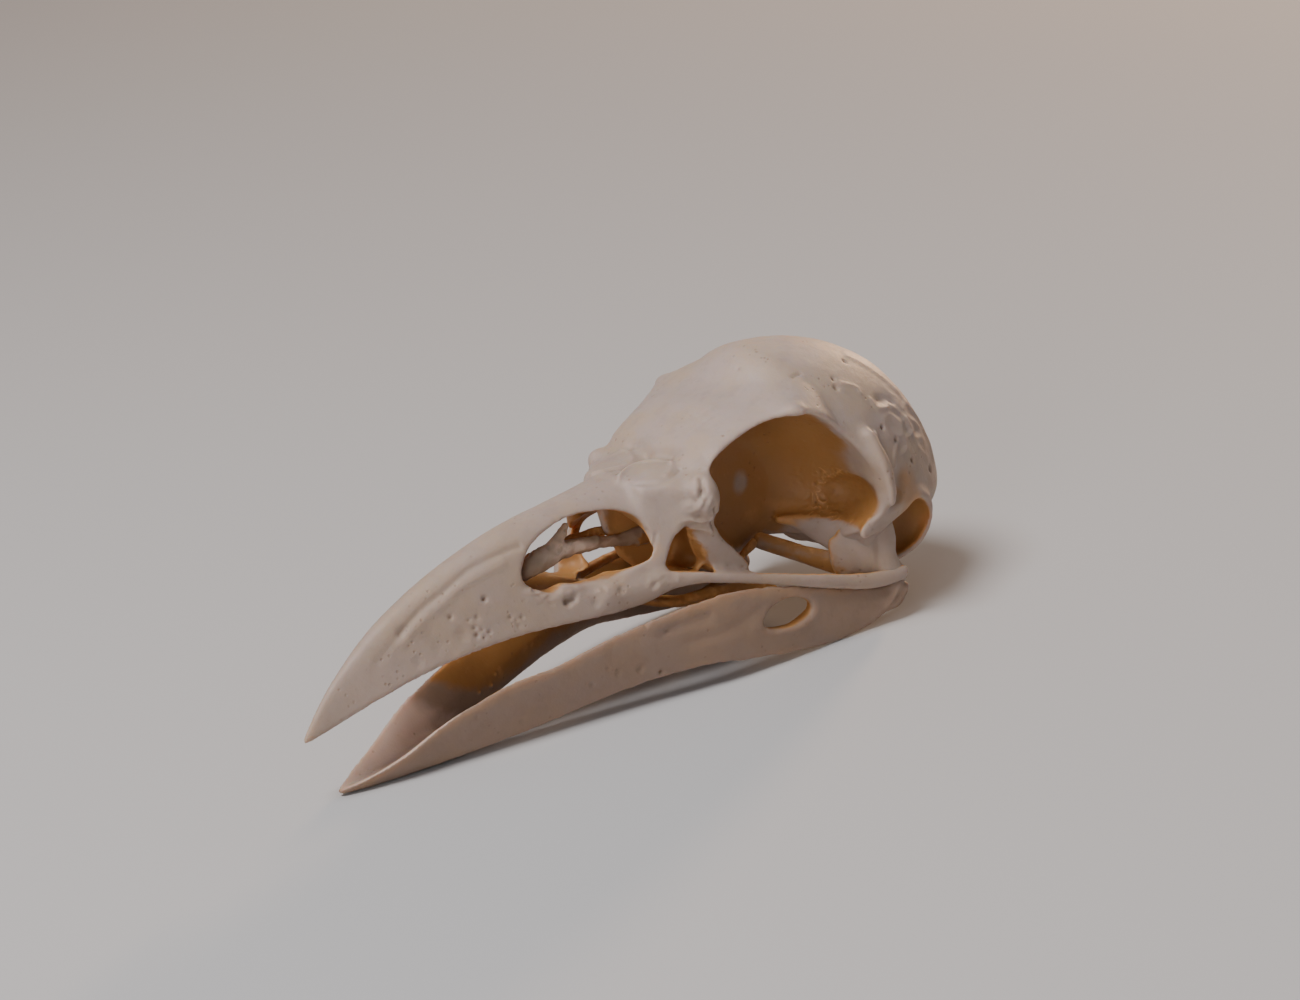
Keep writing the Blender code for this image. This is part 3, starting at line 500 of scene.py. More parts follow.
ROUGH_PLACES = (  # centre and radii of a patch of flaky bone, its height, and the size of its flakes
    ((50.2, 9.6, 9.6), (2.6, 2.6, 3.4), 0.2, 1.7), ((38.6, 5.9, 3.2), (6.0, 1.8, 1.4), 0.11, 1.7),
    ((72.6, 8.0, 9.2), (3.6, 5.5, 3.6), 0.1, 0.7), ((46.0, 8.3, 2.8), (2.4, 1.6, 1.8), 0.12, 1.5),
    ((60.0, 0.6, 13.6), (3.4, 1.0, 3.0), 0.05, 2.2), ((83.0, 10.5, 16.5), (5.0, 3.8, 5.5), 0.16, 2.0),
    ((57.6, 9.0, 2.4), (1.8, 1.4, 1.2), 0.16, 0.9), ((30.0, 4.8, 4.0), (2.2, 1.4, 1.8), 0.14, 0.9),
)


def read(thing, what, width=3):
    """A property of every vertex as an array."""
    values = np.empty(len(thing.data.vertices) * width)
    thing.data.vertices.foreach_get(what, values)
    return values.reshape(-1, width)


def push(thing, amounts):
    """Moves every vertex out along its normal, by its own number of millimetres."""
    places = read(thing, "co") + read(thing, "normal") * amounts[:, None]
    thing.data.vertices.foreach_set("co", places.ravel())
    thing.data.update()


def near_line(places, line, width):
    """1 on a smooth line through the given points, fading to 0 beside it."""
    line = np.array(smooth_rows(line, 5 * len(line)))
    around = ((places > line.min(axis=0) - 3 * width) & (places < line.max(axis=0) + 3 * width)).all(axis=1)
    close = places[around]
    nearest = np.full(len(close), 1e9)
    for start, end in zip(line, line[1:]):
        along = end - start
        share = np.clip((close - start) @ along / (along @ along), 0, 1)
        nearest = np.minimum(nearest, np.linalg.norm(close - start - share[:, None] * along, axis=1))
    values = np.zeros(len(places))
    values[around] = np.exp(-(nearest / width) ** 2)
    return values


def near_ball(places, centre, radii):
    """1 at the middle of a ball, fading to 0 outside it."""
    return np.exp(-(((places - np.array(centre)) / radii) ** 2).sum(axis=1) ** 1.5)


def grain(places, size, seed):
    """Soft bumps of the given size in millimetres, from -1 to 1."""
    shift = Vector((17.3 * seed, 5.1 * seed, 9.7 * seed))
    return np.array([noise.noise(Vector(place) / size + shift) for place in places.tolist()])


def flakes(places, size, seed):
    """Sharp crests like broken layers of bone, from -1 to 1."""
    return 1 - 4 * np.abs(grain(places, size, seed))


RIGHT_SHIFT = 0.35  # how far the lines move on the right side
PIT_DEPTH_SHARE, PIT_WIDTH_SHARE = 0.75, 1.1

chance = np.random.default_rng(11)
fuse(skull, SKULL_SKIN_CELL)
soften(skull, 3)
places = read(skull, "co")
calm = np.clip((places[:, 0] - 24) / 14, 0.25, 1)
amounts = calm * (0.10 * grain(places, 8, 1) + 0.05 * grain(places, 2.6, 2)) + 0.012 * grain(places, 0.9, 3)
for s in SIDES:
    wander = 0.0 if s < 0 else RIGHT_SHIFT
    for width, height, *line in LEFT_LINES:
        moved = [(x + wander, -s * y, z - 0.5 * wander) for x, y, z in line]
        amounts += height * near_line(places, moved, width)
    for x, y, z, radius, depth in LEFT_PITS:
        centre = np.array((x, -s * y, z)) + chance.normal(0, 2 * wander, 3) * (1, 0, 1)
        amounts -= PIT_DEPTH_SHARE * depth * near_ball(places, centre, radius * PIT_WIDTH_SHARE)
    for (x, y, z), radii, height, size in ROUGH_PLACES:
        patch = near_ball(places, (x, s * y, z), radii)
        inside = patch > 0.02
        amounts[inside] += height * patch[inside] * flakes(places[inside] * (0.55, 1, 1), size, 4 + s)
    # a knob on the wall between the eyes and one on each brow, then a pad before the left eye only and a dent
    # before the right eye only
    amounts += 0.3 * near_ball(places, (65.0, s * 0.5, 10.6), (0.9, 0.6, 1.5))
    amounts += 0.3 * near_ball(places, (63.2, s * 12.5, 22.0), 1.3)
    amounts += 0.14 * (1 - s) * near_ball(places, (48.6, s * 3.9, 15.0), (2.0, 1.8, 1.0))
    amounts -= 0.3 * (1 + s) * near_ball(places, (45.6, s * 6.2, 12.4), (2.2, 1.8, 1.8))
push(skull, amounts)
thin_out(skull, SKULL_TRIANGLES)


# Depth and thinness tell the colours where to paint shade, brown in hollows, and painted glow on thin bone.
# They are measured in metres, on a light copy of the bone, against itself and the solids of the other bones.
HOLLOW_REACH = 0.022
THICK_BONE = 0.004
TOUCHING = 0.003  # a nearer hit on another solid is a contact, and hides nothing
RAY_LIFT, INNER_LIFT = 0.0004, 0.0001
SAMPLE_LIFT = 0.0015  # off the surface, which keeps the two faces of thin bone apart
SURVEY_FACES = 9000
SURVEY_RAYS = 110


def hidden_share(tree, others, start, normal, rays, reach):
    """The share of the open half sphere over a point that bone hides within reach."""
    open_weight = blocked = 0.0
    for ray in rays:
        facing = ray.dot(normal)
        if facing > 0.1:
            open_weight += facing
            beyond = others.ray_cast(start, ray, reach)[3]
            if tree.ray_cast(start, ray, reach)[0] or (beyond and beyond > TOUCHING):
                blocked += facing
    return blocked / open_weight


def twin(thing):
    other = thing.copy()
    other.data = thing.data.copy()
    bpy.context.scene.collection.objects.link(other)
    return other


def mark_hollows(thing, own_nodes, shade_changes):
    """Stores how deep in a hollow every point lies, how thin the bone is, and how far it stands out or in.

    A shade change holds a centre, radii and a share that is taken off the depth, so that less shade is
    painted there, and painted light makes the place paler past that. A negative share paints more shade there
    instead."""
    coarse = twin(thing)
    shape(coarse, "DECIMATE", ratio=min(1.0, SURVEY_FACES / len(coarse.data.polygons)))
    tree = BVHTree.FromPolygons([v.co for v in coarse.data.vertices],
                                [p.vertices for p in coarse.data.polygons])
    corners, faces = [], []
    for name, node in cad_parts.items():
        if name not in own_nodes:
            first = len(corners)
            corners += [v.co for v in node.data.vertices]
            faces += [[first + i for i in p.vertices] for p in node.data.polygons]
    others = BVHTree.FromPolygons(corners, faces)
    rays = [
        Vector((math.sqrt(1 - z * z) * math.cos(2.4 * k), math.sqrt(1 - z * z) * math.sin(2.4 * k), z))
        for k, z in enumerate(np.linspace(0.99, -0.99, SURVEY_RAYS))
    ]
    finder = KDTree(len(coarse.data.vertices))
    found = []
    for vert in coarse.data.vertices:
        depth = hidden_share(tree, others, vert.co + vert.normal * RAY_LIFT, vert.normal, rays, HOLLOW_REACH)
        behind = tree.ray_cast(vert.co - vert.normal * INNER_LIFT, -vert.normal, THICK_BONE)[3]
        found.append((depth, 1 - (behind or THICK_BONE) / THICK_BONE))
        finder.insert(vert.co + vert.normal * SAMPLE_LIFT, vert.index)
    finder.balance()
    deep, thin = [], []
    for vert in thing.data.vertices:
        near = finder.find_n(vert.co + vert.normal * SAMPLE_LIFT, 4)
        weights = [1 / (distance + 0.0001) for _, _, distance in near]
        deep.append(sum(w * found[i][0] for w, (_, i, _) in zip(weights, near)) / sum(weights))
        thin.append(sum(w * found[i][1] for w, (_, i, _) in zip(weights, near)) / sum(weights))
    soft = twin(thing)
    soften(soft, 14)
    relief = ((read(thing, "co") - read(soft, "co")) * read(thing, "normal")).sum(axis=1) * 1000
    upright = REST.inverted()
    places = read(thing, "co") @ np.array(upright.to_3x3()).T + np.array(upright.translation)
    deep = np.array(deep)
    for centre, radii, share in shade_changes:
        shade_lift = share * near_ball(places, centre, radii)
        deep = deep - shade_lift * np.where(shade_lift > 0, np.clip(4 * deep, 0, 1), 1)
    for label, values in (("hollow", deep), ("thin", thin), ("relief", relief)):
        thing.data.attributes.new(label, "FLOAT", "POINT").data.foreach_set("value", values)
    remove(coarse)
    remove(soft)


class Tone:
    """A number or colour that varies over the surface. Sums and products of numbers add their Math nodes."""

    def __init__(self, finish, socket):
        self.finish, self.socket = finish, socket

    def maths(self, operation, first, second):
        return self.finish.node("ShaderNodeMath", {"operation": operation}, {0: first, 1: second})

    def __add__(self, other):
        return self.maths("ADD", self, other)

    def __sub__(self, other):
        return self.maths("SUBTRACT", self, other)

    def __rsub__(self, other):
        return self.maths("SUBTRACT", other, self)

    def __mul__(self, other):
        return self.maths("MULTIPLY", self, other)

    __radd__, __rmul__ = __add__, __mul__


class Finish:
    """A material as it is built up, in millimetres over the piece."""

    def __init__(self, name):
        self.material = bpy.data.materials.new(name)
        self.material.use_nodes = True
        self.tree = self.material.node_tree
        self.shader = self.tree.nodes["Principled BSDF"]

    def node(self, kind, settings=None, values=None, output=0):
        made = self.tree.nodes.new(kind)
        for key, value in (settings or {}).items():
            setattr(made, key, value)
        for key, value in (values or {}).items():
            if isinstance(value, Tone):
                self.tree.links.new(value.socket, made.inputs[key])
            else:
                made.inputs[key].default_value = value
        return Tone(self, made.outputs[output])

    def between(self, value, low, high):
        """0 below low, 1 above high, on a smooth curve."""
        return self.node("ShaderNodeMapRange", {"interpolation_type": "SMOOTHSTEP"},
                         {"Value": value, "From Min": low, "From Max": high})

    def cloud(self, place, size, detail=3.0, roughness=0.55, distortion=0.0):
        """Noise with patches of about the given size in millimetres."""
        return self.node("ShaderNodeTexNoise", {}, {
            "Vector": place, "Scale": 1000 / size,
            "Detail": detail, "Roughness": roughness, "Distortion": distortion})

    def mix(self, share, first, second):
        return self.node("ShaderNodeMix", {"data_type": "RGBA"}, {0: share, 6: first, 7: second}, output=2)

    def drive(self, socket, tone):
        self.tree.links.new(tone.socket, self.shader.inputs[socket])


# painted shade: the brown that stands for shade in hollows, and a lighter, warmer brown as painted light
# through the bone in the deepest ones
HOLLOW_SHADE_BROWN = (0.36, 0.165, 0.042)
DEEP_HOLLOW_GLOW = (0.46, 0.215, 0.06)
GLOW = (0.62, 0.34, 0.15)
GLINT = (0.64, 0.34, 0.13)


def scaled(colour, share):
    return [min(share * value, 1) for value in colour] + [1]


def bone_finish(name, pale, warm, grey):
    """Old dry bone: an uneven ground, worn paler on edges, darker in creases and pores, with painted shade
    and light.
    """
    bone = Finish(name)
    place = bone.node("ShaderNodeTexCoord", output="Object")
    drawn_out = bone.node("ShaderNodeMapping", {}, {
        "Vector": place, "Rotation": (0, 0.35, 0), "Scale": (0.35, 1, 1)})
    hollow = bone.node("ShaderNodeAttribute", {"attribute_name": "hollow"}, output="Fac")
    thin = bone.node("ShaderNodeAttribute", {"attribute_name": "thin"}, output="Fac")
    relief = bone.node("ShaderNodeAttribute", {"attribute_name": "relief"}, output="Fac")
    patches = bone.between(bone.cloud(place, 9.0), 0.42, 0.62)
    blotches = bone.between(bone.cloud(place, 2.4, 4.0, 0.6), 0.45, 0.7)
    streaks = bone.between(bone.cloud(drawn_out, 1.6, 4.0, 0.6, 0.4), 0.5, 0.74)
    fine = bone.cloud(place, 0.5, 3.0, 0.6)
    cells = bone.node("ShaderNodeTexVoronoi", {"feature": "F1"}, {"Vector": place, "Scale": 1000 / 0.9})
    pores = (1 - bone.between(cells, 0.1, 0.26)) * bone.between(bone.cloud(place, 4.0, 2.0), 0.5, 0.66)
    creases = bone.between(0.0 - relief, 0.015, 0.13)
    edges = bone.between(relief, 0.02, 0.12)
    colour = bone.mix(patches * 0.9, (*pale, 1), (*warm, 1))
    colour = bone.mix(blotches * 0.42, colour, (*grey, 1))
    colour = bone.mix(streaks * 0.25, colour, (*warm, 1))
    colour = bone.mix(fine * 0.14, colour, (*grey, 1))
    depth = bone.between(hollow + (bone.cloud(place, 3.2, 4.0, 0.6) - 0.5) * 0.12, 0.22, 0.44)
    glints = bone.between(relief + (bone.cloud(place, 1.6, 4.0, 0.6) - 0.5) * 0.12, 0.012, 0.05) * depth
    # painted shade: the bone is darker and browner near the floor
    height_above_floor = bone.node("ShaderNodeSeparateXYZ", {}, {"Vector": place}, output=2)
    painted_low_shade = 1 - bone.between(height_above_floor, 0.012, 0.04)
    colour = bone.mix(painted_low_shade * 0.55, colour, (0.62 * warm[0], 0.58 * warm[1], 0.54 * warm[2], 1))
    colour = bone.mix(edges * 0.25, colour, scaled(pale, 1.25))
    # painted light: places whose depth fell below zero are painted paler, though they lie in shade
    colour = bone.mix(bone.between(0.0 - hollow, 0.02, 0.4) * 0.8, colour, scaled(pale, 1.9))
    colour = bone.mix(bone.between(thin, 0.72, 0.95) * 0.38, colour, (*GLOW, 1))
    # painted shade in hollows, turning into painted light through the bone in the deepest
    deepest = bone.mix(bone.between(hollow, 0.5, 0.85), (*HOLLOW_SHADE_BROWN, 1), (*DEEP_HOLLOW_GLOW, 1))
    colour = bone.mix(depth * 0.94, colour, deepest)
    # creases and pores are darker, towards a weak share of the hollow brown
    colour = bone.mix(creases * 0.5 + pores * 0.3, colour, scaled(HOLLOW_SHADE_BROWN, 0.4))
    colour = bone.mix(glints * 0.5, colour, (*GLINT, 1))
    bone.drive("Base Color", colour)
    bone.drive("Roughness", fine * 0.2 + blotches * 0.06 + 0.46)
    height = fine * 0.35 + bone.cloud(place, 1.4, 4.0, 0.6) * 0.9 - pores * 0.9
    bump = bone.node("ShaderNodeBump", {}, {"Strength": 0.6, "Distance": 0.00011, "Height": height})
    bone.drive("Normal", bump)
    bone.shader.inputs["Subsurface Weight"].default_value = 0.3
    bone.shader.inputs["Subsurface Radius"].default_value = (1.0, 0.38, 0.14)
    bone.shader.inputs["Subsurface Scale"].default_value = 0.0016
    bone.shader.inputs["IOR"].default_value = 1.5
    return bone.material


def lay_in(thing, nodes, finish, shade_changes=()):
    """Sets a finished bone in the frame: laid down at rest, and kept inside the box of the solids."""
    thing.data.transform(REST)
    places = np.clip(read(thing, "co"), np.array(cad_box[0]) + 1e-6, np.array(cad_box[1]) - 1e-6)
    thing.data.vertices.foreach_set("co", places.ravel())
    thing.data.update()
    thing.data.shade_smooth()
    mark_hollows(thing, nodes, shade_changes)
    thing.data.materials.append(finish)
    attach(thing, "root")
    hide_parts(*nodes)


# painted light on the wall between the eyes, as light shining through it, and less painted shade at its front
# edge
MIDDLE_SHADE_CHANGES = [((65.0, 0, 10.6), (1.1, 1.0, 1.6), 0.55), ((43.6, 0, 9.6), (1.3, 1.2, 3.6), 0.4)]
SIDE_SHADE_CHANGES = (  # painted shade on the temple, then less painted shade at the rear of the eye socket, the base and the lacrimal plates
    ((81.0, 13.8, 9.8), (3.6, 3.5, 4.6), -0.33), ((75.0, 12.5, 13.4), (3.0, 3.5, 5.0), 0.26),
    ((74.0, 8.0, 4.2), (5.0, 6.5, 2.2), 0.3), ((76.0, 4.0, 3.0), (4.0, 5.0, 2.4), 0.2),
    ((55.0, 8.0, 3.6), (2.6, 1.6, 2.6), 0.25),
)
skull_finish = bone_finish("skull_bone", (0.46, 0.365, 0.33), (0.48, 0.36, 0.275), (0.35, 0.275, 0.25))
skull_shade_changes = MIDDLE_SHADE_CHANGES + [
    ((x, s * y, z), radii, share) for s in SIDES for (x, y, z), radii, share in SIDE_SHADE_CHANGES]
lay_in(skull, ("upper_beak", "braincase", "interorbital_septum", "lacrimal_left", "lacrimal_right",
               "jugal_bar_left", "jugal_bar_right"), skull_finish, skull_shade_changes)

# ---------------------------------------------------------------- rods in the nostril
# Two rough bars of thin bone run back side by side from the front corner of the nostril hollow to the wall
# between its rear halves. The left one sends a short prong up towards the roof of the beak.
LEFT_ROD = ((30.4, -1.5, 5.1, 0.9, 1.1), (32.2, -1.4, 5.9, 1.0, 1.45), (34.4, -1.3, 6.6, 0.95, 1.45),
            (36.4, -1.2, 6.8, 0.85, 1.15), (38.6, -1.1, 6.8, 0.75, 0.95), (41.4, -1.0, 6.9, 0.65, 0.85),
            (44.4, -0.8, 6.6, 0.6, 0.75), (50.0, -0.6, 6.4, 0.8, 1.2))
RIGHT_ROD = ((30.9, 1.0, 4.6, 0.8, 0.8), (35.0, 1.1, 6.2, 0.7, 0.7), (39.6, 1.1, 7.2, 0.6, 0.55),
             (44.0, 0.9, 7.5, 0.6, 0.6), (50.0, 0.6, 7.0, 0.8, 1.0))
PRONG = ((34.6, -1.4, 7.2, 0.75, 0.8), (35.7, -1.6, 8.6, 0.65, 0.7), (36.5, -1.7, 9.8, 0.5, 0.5))
# less painted shade on the rods inside the nostril hollow
ROD_SHADE_LIFT = [((37.0, -1.2, 7.0), (9.0, 2.2, 2.6), 0.6)]
SMALL_BONE_CELL = 0.16


def carve(name, bodies, radius, triangles, grit):
    """Fuses bodies into one rough-skinned bone of about the given number of triangles."""
    thing = to_object(bodies, name)
    fuse(thing, SMALL_BONE_CELL)
    fillet(thing, radius, SMALL_BONE_CELL)
    soften(thing, 3)
    places = read(thing, "co")
    soft_bumps = grain(places, 2.4, 5) + 0.5 * grain(places, 0.9, 6)
    push(thing, grit * soft_bumps + 0.4 * grit * flakes(places, 1.5, 7))
    thin_out(thing, triangles)
    return thing


bars = bmesh.new()
for rows in (LEFT_ROD, RIGHT_ROD, PRONG):
    rod(bars, rows)
nostril_rods = carve("nostril_rods", bars, 0.25, 40000, 0.17)
thin_finish = bone_finish("thin_bone", (0.40, 0.305, 0.25), (0.42, 0.30, 0.20), (0.28, 0.21, 0.165))
lay_in(nostril_rods, ("nasal_rods",), thin_finish, ROD_SHADE_LIFT)

# ---------------------------------------------------------------- palatines and pterygoids
# The palatines are long thin plates that carry the palate, side by side under the beak and the eyes. Each has
# a tail at its outer rear corner. A slim pterygoid rod runs from each, back and outwards to the quadrate.
PALATINE = ((42.0, 4.4, 0.9, 1.2, 0.6), (50.0, 5.0, -0.9, 1.2, 0.7), (56.0, 4.8, -1.0, 1.5, 0.6),
            (60.2, 4.0, 0.7, 0.8, 0.55), (63.2, 3.0, 2.2, 0.5, 0.5), (65.8, 2.2, 3.2, 0.45, 0.8))
PALATINE_TAIL = ((52.0, 5.6, -0.8, 0.9, 0.6), (57.0, 6.5, -0.4, 0.8, 0.9), (61.0, 7.0, -0.7, 0.6, 0.8),
                 (64.5, 7.4, -1.3, 0.4, 0.5))
PTERYGOID = ((66.4, 2.2, 3.5, 0.6, 1.1), (69.0, 4.2, 2.4, 0.55, 1.15), (71.2, 6.0, 1.45, 0.5, 1.2),
             (74.0, 8.4, 0.5, 0.5, 1.5))
for s, side in zip(SIDES, ("left", "right")):
    plate = bmesh.new()
    rod(plate, on_side(PALATINE, s), 60)
    rod(plate, on_side(PALATINE_TAIL, s))
    palatine = carve("palatine_" + side + "_bone", plate, 0.2, 24000, 0.06)
    lay_in(palatine, ("palatine_" + side,), thin_finish)
    slim = bmesh.new()
    rod(slim, on_side(PTERYGOID, s))
    pterygoid = carve("pterygoid_" + side + "_bone", slim, 0.2, 16000, 0.05)
    lay_in(pterygoid, ("pterygoid_" + side,), thin_finish)

# ---------------------------------------------------------------- quadrates
# The block that the jaw hinges on. Its post climbs to the temple, a broad blade points inwards to the
# pterygoid, and its knuckle sits in the cup of the lower jaw.
QUADRATE_POST = ((78.2, 11.8, 6.6, 1.0, 1.2), (77.8, 12.4, 4.0, 1.0, 1.4), (77.9, 12.7, 1.4, 1.1, 1.6),
                 (78.7, 12.9, -0.7, 1.4, 1.8))
QUADRATE_BLADE = ((78.6, 12.8, 2.6, 0.8, 3.4), (77.2, 11.8, 2.6, 0.85, 3.6), (75.6, 10.6, 2.7, 0.8, 3.7),
                  (74.0, 9.4, 1.8, 0.6, 2.9), (72.9, 8.6, 1.5, 0.45, 2.4))
QUADRATE_KNUCKLE = ((79.8, 13.2, -0.9, 1.3, 1.2), (78.6, 10.4, -0.6, 1.3, 0.9))
for s, side in zip(SIDES, ("left", "right")):
    block = bmesh.new()
    rod(block, on_side(QUADRATE_POST, s), flat_axis=(1, 0, 0))
    rod(block, on_side(QUADRATE_BLADE, s))
    rod(block, on_side(QUADRATE_KNUCKLE, s))
    quadrate = carve("quadrate_" + side + "_bone", block, 0.6, 24000, 0.04)
    lay_in(quadrate, ("quadrate_" + side,), skull_finish)

# ---------------------------------------------------------------- lower jaw
# Two long upright plates meet in a scoop-shaped tip. Each has one oval window near its rear, and ends in a
# cup that carries the skull. The right plate ends sooner. The whole skull rests on this bone's lower edges.
RAMUS = (  # x, outer y and z of the upper edge, outer y and z of the lower edge, thickness
    (4.3, 0.5, -16.0, 0.1, -16.7, 0.5),
    (8.0, 2.3, -14.2, 0.7, -16.5, 1.1),
    (12.0, 3.6, -12.1, 1.6, -16.0, 1.4),
    (16.0, 4.5, -9.5, 2.7, -15.2, 1.6),
    (20.0, 5.3, -7.6, 3.7, -14.4, 1.7),
    (25.0, 6.3, -5.7, 4.9, -13.3, 1.8),
    (31.0, 7.4, -4.4, 6.2, -11.9, 1.9),
    (38.0, 8.7, -2.1, 8.0, -10.0, 1.9),
    (45.0, 10.0, -0.3, 9.9, -8.5, 1.8),
    (51.5, 11.0, 0.95, 11.6, -7.8, 1.8),
    (57.0, 11.5, 1.1, 12.3, -8.0, 1.8),
    (63.0, 12.0, 0.5, 12.8, -8.2, 1.8),
    (70.0, 12.5, -0.8, 12.9, -8.0, 1.9),
    (76.0, 13.1, -1.6, 13.4, -6.3, 2.2),
    (81.0, 13.6, -2.0, 13.7, -3.6, 1.6),
)
RIGHT_END_SHORTER, SHORTENED_FROM, SHORTENED_OVER = 2.4, 68, 13
LEFT_JAW_LINES = (  # half width, height, then the points of the line
    (0.7, -0.16, (44.4, -10.1, -2.8), (46.2, -10.5, -2.3), (48.0, -10.9, -2.0), (50.4, -11.3, -1.6)),
    (0.5, 0.22, (79.0, -13.7, -1.6), (78.2, -14.1, -3.0), (77.2, -14.0, -4.4), (75.4, -13.8, -5.6)),
    (0.4, 0.2, (80.4, -14.0, -2.2), (79.2, -14.1, -3.4), (77.9, -14.1, -4.6)),
    (0.35, -0.2, (79.7, -14.0, -1.9), (78.7, -14.1, -3.2), (77.5, -14.1, -4.6)),
    (0.6, 0.12, (56.8, -12.3, -3.9), (59.4, -12.7, -5.0), (63.2, -13.0, -5.0), (66.0, -13.0, -4.0),
     (66.6, -13.1, -2.6)),
    (0.7, -0.14, (48.0, -10.9, -4.4), (53.0, -12.0, -3.6), (57.0, -12.4, -2.2), (63.0, -12.9, -0.7)),
)
LEFT_JAW_PITS = (  # x, y, z, radius, depth
    (44.9, -10.2, -2.6, 0.4, 0.15), (41.4, -9.3, -6.7, 0.5, 0.22), (44.2, -9.8, -7.5, 0.3, 0.3),
    (38.6, -8.7, -6.8, 0.4, 0.14), (35.3, -7.9, -7.8, 0.35, 0.14), (26.5, -5.9, -10.8, 0.4, 0.12),
    (20.5, -5.2, -9.4, 0.3, 0.1), (42.1, -9.4, -1.6, 0.3, 0.15), (37.2, -8.4, -6.0, 0.3, 0.12),
    (33.9, -5.5, -8.6, 0.35, -0.2), (32.5, -5.1, -9.0, 0.3, -0.2), (31.0, -4.9, -10.2, 0.35, -0.25),
    (28.2, -4.3, -10.5, 0.3, -0.2), (31.4, -4.9, -8.6, 0.25, -0.15),
)
JAW_WINDOW = (
    (58.0, -4.0), (59.3, -2.3), (62.4, -1.3), (65.2, -1.9), (66.0, -3.2), (63.4, -4.5), (60.2, -4.6),
)
JAW_CHIN = ((4.6, 0, -16.3, 0.5, 0.3), (8.0, 0, -15.9, 1.2, 0.5), (12.0, 0, -15.1, 1.9, 0.8),
            (16.0, 0, -14.2, 2.4, 1.0), (20.5, 0, -13.3, 2.8, 0.8))
# painted light in the scoop of the jaw tip, which lies in the shade of the upper beak
SCOOP_PAINTED_LIGHT = [((11.5, 1.0, -12.8), (14.0, 9.0, 7.5), 1.25)]
JAW_SKIN_CELL = 0.2
JAW_TRIANGLES = 120000


def ramus_ring(x, top_y, top_z, low_y, low_z, thickness, s):
    """A section of one side of the jaw: an upright plate with rounded edges that bulges outwards."""
    if s > 0:
        x -= RIGHT_END_SHORTER * max(x - SHORTENED_FROM, 0) / SHORTENED_OVER
    ring = []
    for t in np.linspace(0, 1, 22):
        y = low_y + (top_y - low_y) * t + 0.175 * math.sin(math.pi * t) * thickness
        ring.append((x, s * y, low_z + (top_z - low_z) * t))
    for t in np.linspace(1, 0, 22):
        depth = min(abs(math.sin(math.pi * t)) ** 0.6, 1.9 * (1 - t))
        y = low_y + (top_y - low_y) * t - thickness * (0.2 + 0.8 * depth)
        ring.append((x, s * y, low_z + (top_z - low_z) * t + (0.25 - 0.5 * t) * thickness * 0.5))
    return ring


jaw_solid = bmesh.new()
for s in SIDES:
    shorter = RIGHT_END_SHORTER * (s > 0)
    roll(jaw_solid, [ramus_ring(*row, s) for row in smooth_rows(RAMUS, 110)])
    ball(jaw_solid, (78.2 - shorter, s * 12.6, -3.8), (2.8, 1.6, 1.6))
    ball(jaw_solid, (79.2 - shorter, s * 13.6, -2.3), (1.5, 0.9, 1.2), (0, 20, 0))
rod(jaw_solid, JAW_CHIN)
jaw = to_object(jaw_solid, "lower_jaw")
fuse(jaw, BODY_CELL)
window = bmesh.new()
upright_slice(window, JAW_WINDOW, -18, 18)
jaw_window = to_object(window, "jaw_window")
fuse(jaw_window, BODY_CELL)
cut(jaw, jaw_window)
fuse(jaw, BODY_CELL)
fillet(jaw, 0.4, BODY_CELL)
fuse(jaw, JAW_SKIN_CELL)
soften(jaw, 4)
places = read(jaw, "co")
amounts = 0.07 * grain(places, 6, 8) + 0.05 * grain(places, 2.2, 9) + 0.012 * grain(places, 0.8, 10)
for s in SIDES:
    for width, height, *line in LEFT_JAW_LINES:
        amounts += height * near_line(places, [(x, -s * y, z) for x, y, z in line], width)
    for x, y, z, radius, depth in LEFT_JAW_PITS:
        centre = np.array((x, -s * y, z)) + chance.normal(0, 0.4 * (1 + s), 3) * (1, 0, 1)
        amounts -= depth * near_ball(places, centre, radius)
push(jaw, amounts)
thin_out(jaw, JAW_TRIANGLES)
# painted shade: the lower jaw takes a darker, browner copy of the bone colours
jaw_shaded_finish = bone_finish("jaw_bone", (0.345, 0.25, 0.205), (0.365, 0.245, 0.17), (0.255, 0.182, 0.145))
lay_in(jaw, ("mandible",), jaw_shaded_finish, SCOOP_PAINTED_LIGHT)

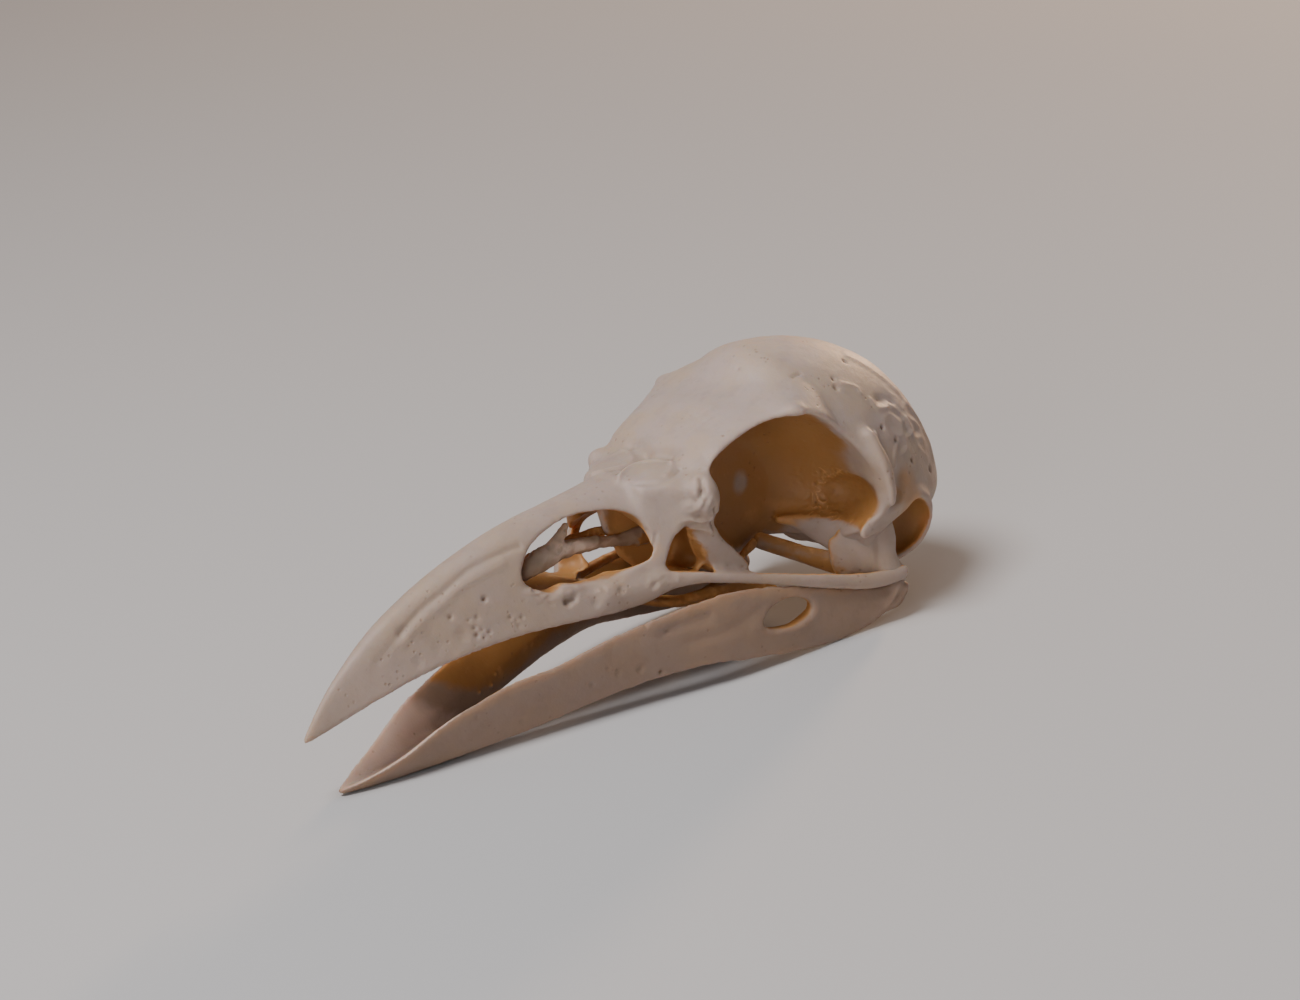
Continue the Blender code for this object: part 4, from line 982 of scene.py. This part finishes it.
# ---------------------------------------------------------------- floor, light and camera
# A plain pale floor, large soft lights and the photograph's own viewpoint. A weak warm light from behind
# draws the edge of the back of the head.
floor_mesh = bmesh.new()
bmesh.ops.create_grid(floor_mesh, x_segments=1, y_segments=1, size=3.0)
floor = to_object(floor_mesh, "floor")
paper = Finish("floor_paper")
paper_cloud = paper.cloud(paper.node("ShaderNodeTexCoord", output="Object"), 60.0, 2.0)
paper.drive("Base Color", paper.mix(paper_cloud * 0.3, (0.50, 0.50, 0.51, 1), (0.48, 0.48, 0.49, 1)))
paper.shader.inputs["Roughness"].default_value = 0.85
floor.data.materials.append(paper.material)

studio = bpy.data.worlds.new("studio")
studio.use_nodes = True
studio.node_tree.nodes["Background"].inputs["Color"].default_value = (0.94, 0.94, 0.96, 1)
studio.node_tree.nodes["Background"].inputs["Strength"].default_value = 0.2
bpy.context.scene.world = studio


def softbox(name, place, aim, size, power, colour):
    """A round lamp of the given size in metres and power in watts, turned to face a point."""
    lamp = bpy.data.lights.new(name, "AREA")
    lamp.shape, lamp.size, lamp.energy, lamp.color = "DISK", size, power, colour
    box = bpy.data.objects.new(name, lamp)
    box.location = place
    box.rotation_euler = (Vector(aim) - Vector(place)).to_track_quat("-Z", "Y").to_euler()
    bpy.context.scene.collection.objects.link(box)


softbox("key", (-0.3, -0.02, 0.62), (0, 0, 0.02), 0.3, 4.8, (1.0, 0.965, 0.95))
softbox("fill", (-0.66, -0.36, 0.22), (-0.02, 0, 0.01), 0.3, 1.4, (1.0, 0.96, 0.94))
softbox("rim", (0.95, 0.42, 0.24), (0.03, 0, 0.03), 0.16, 7.0, (1.0, 0.64, 0.38))

lens = bpy.data.cameras.new("camera")
lens.sensor_width = 36
lens.angle = math.radians(20)
lens.clip_start = 0.01
camera = bpy.data.objects.new("camera", lens)
camera.location = (-0.25785, -0.32175, 0.15665)
camera.rotation_euler = [math.radians(angle) for angle in (71.7827, 6.0252, -41.3215)]
bpy.context.scene.collection.objects.link(camera)
bpy.context.scene.camera = camera

# ---------------------------------------------------------------- last update
# The scene is brought up to date.
bpy.context.view_layer.update()
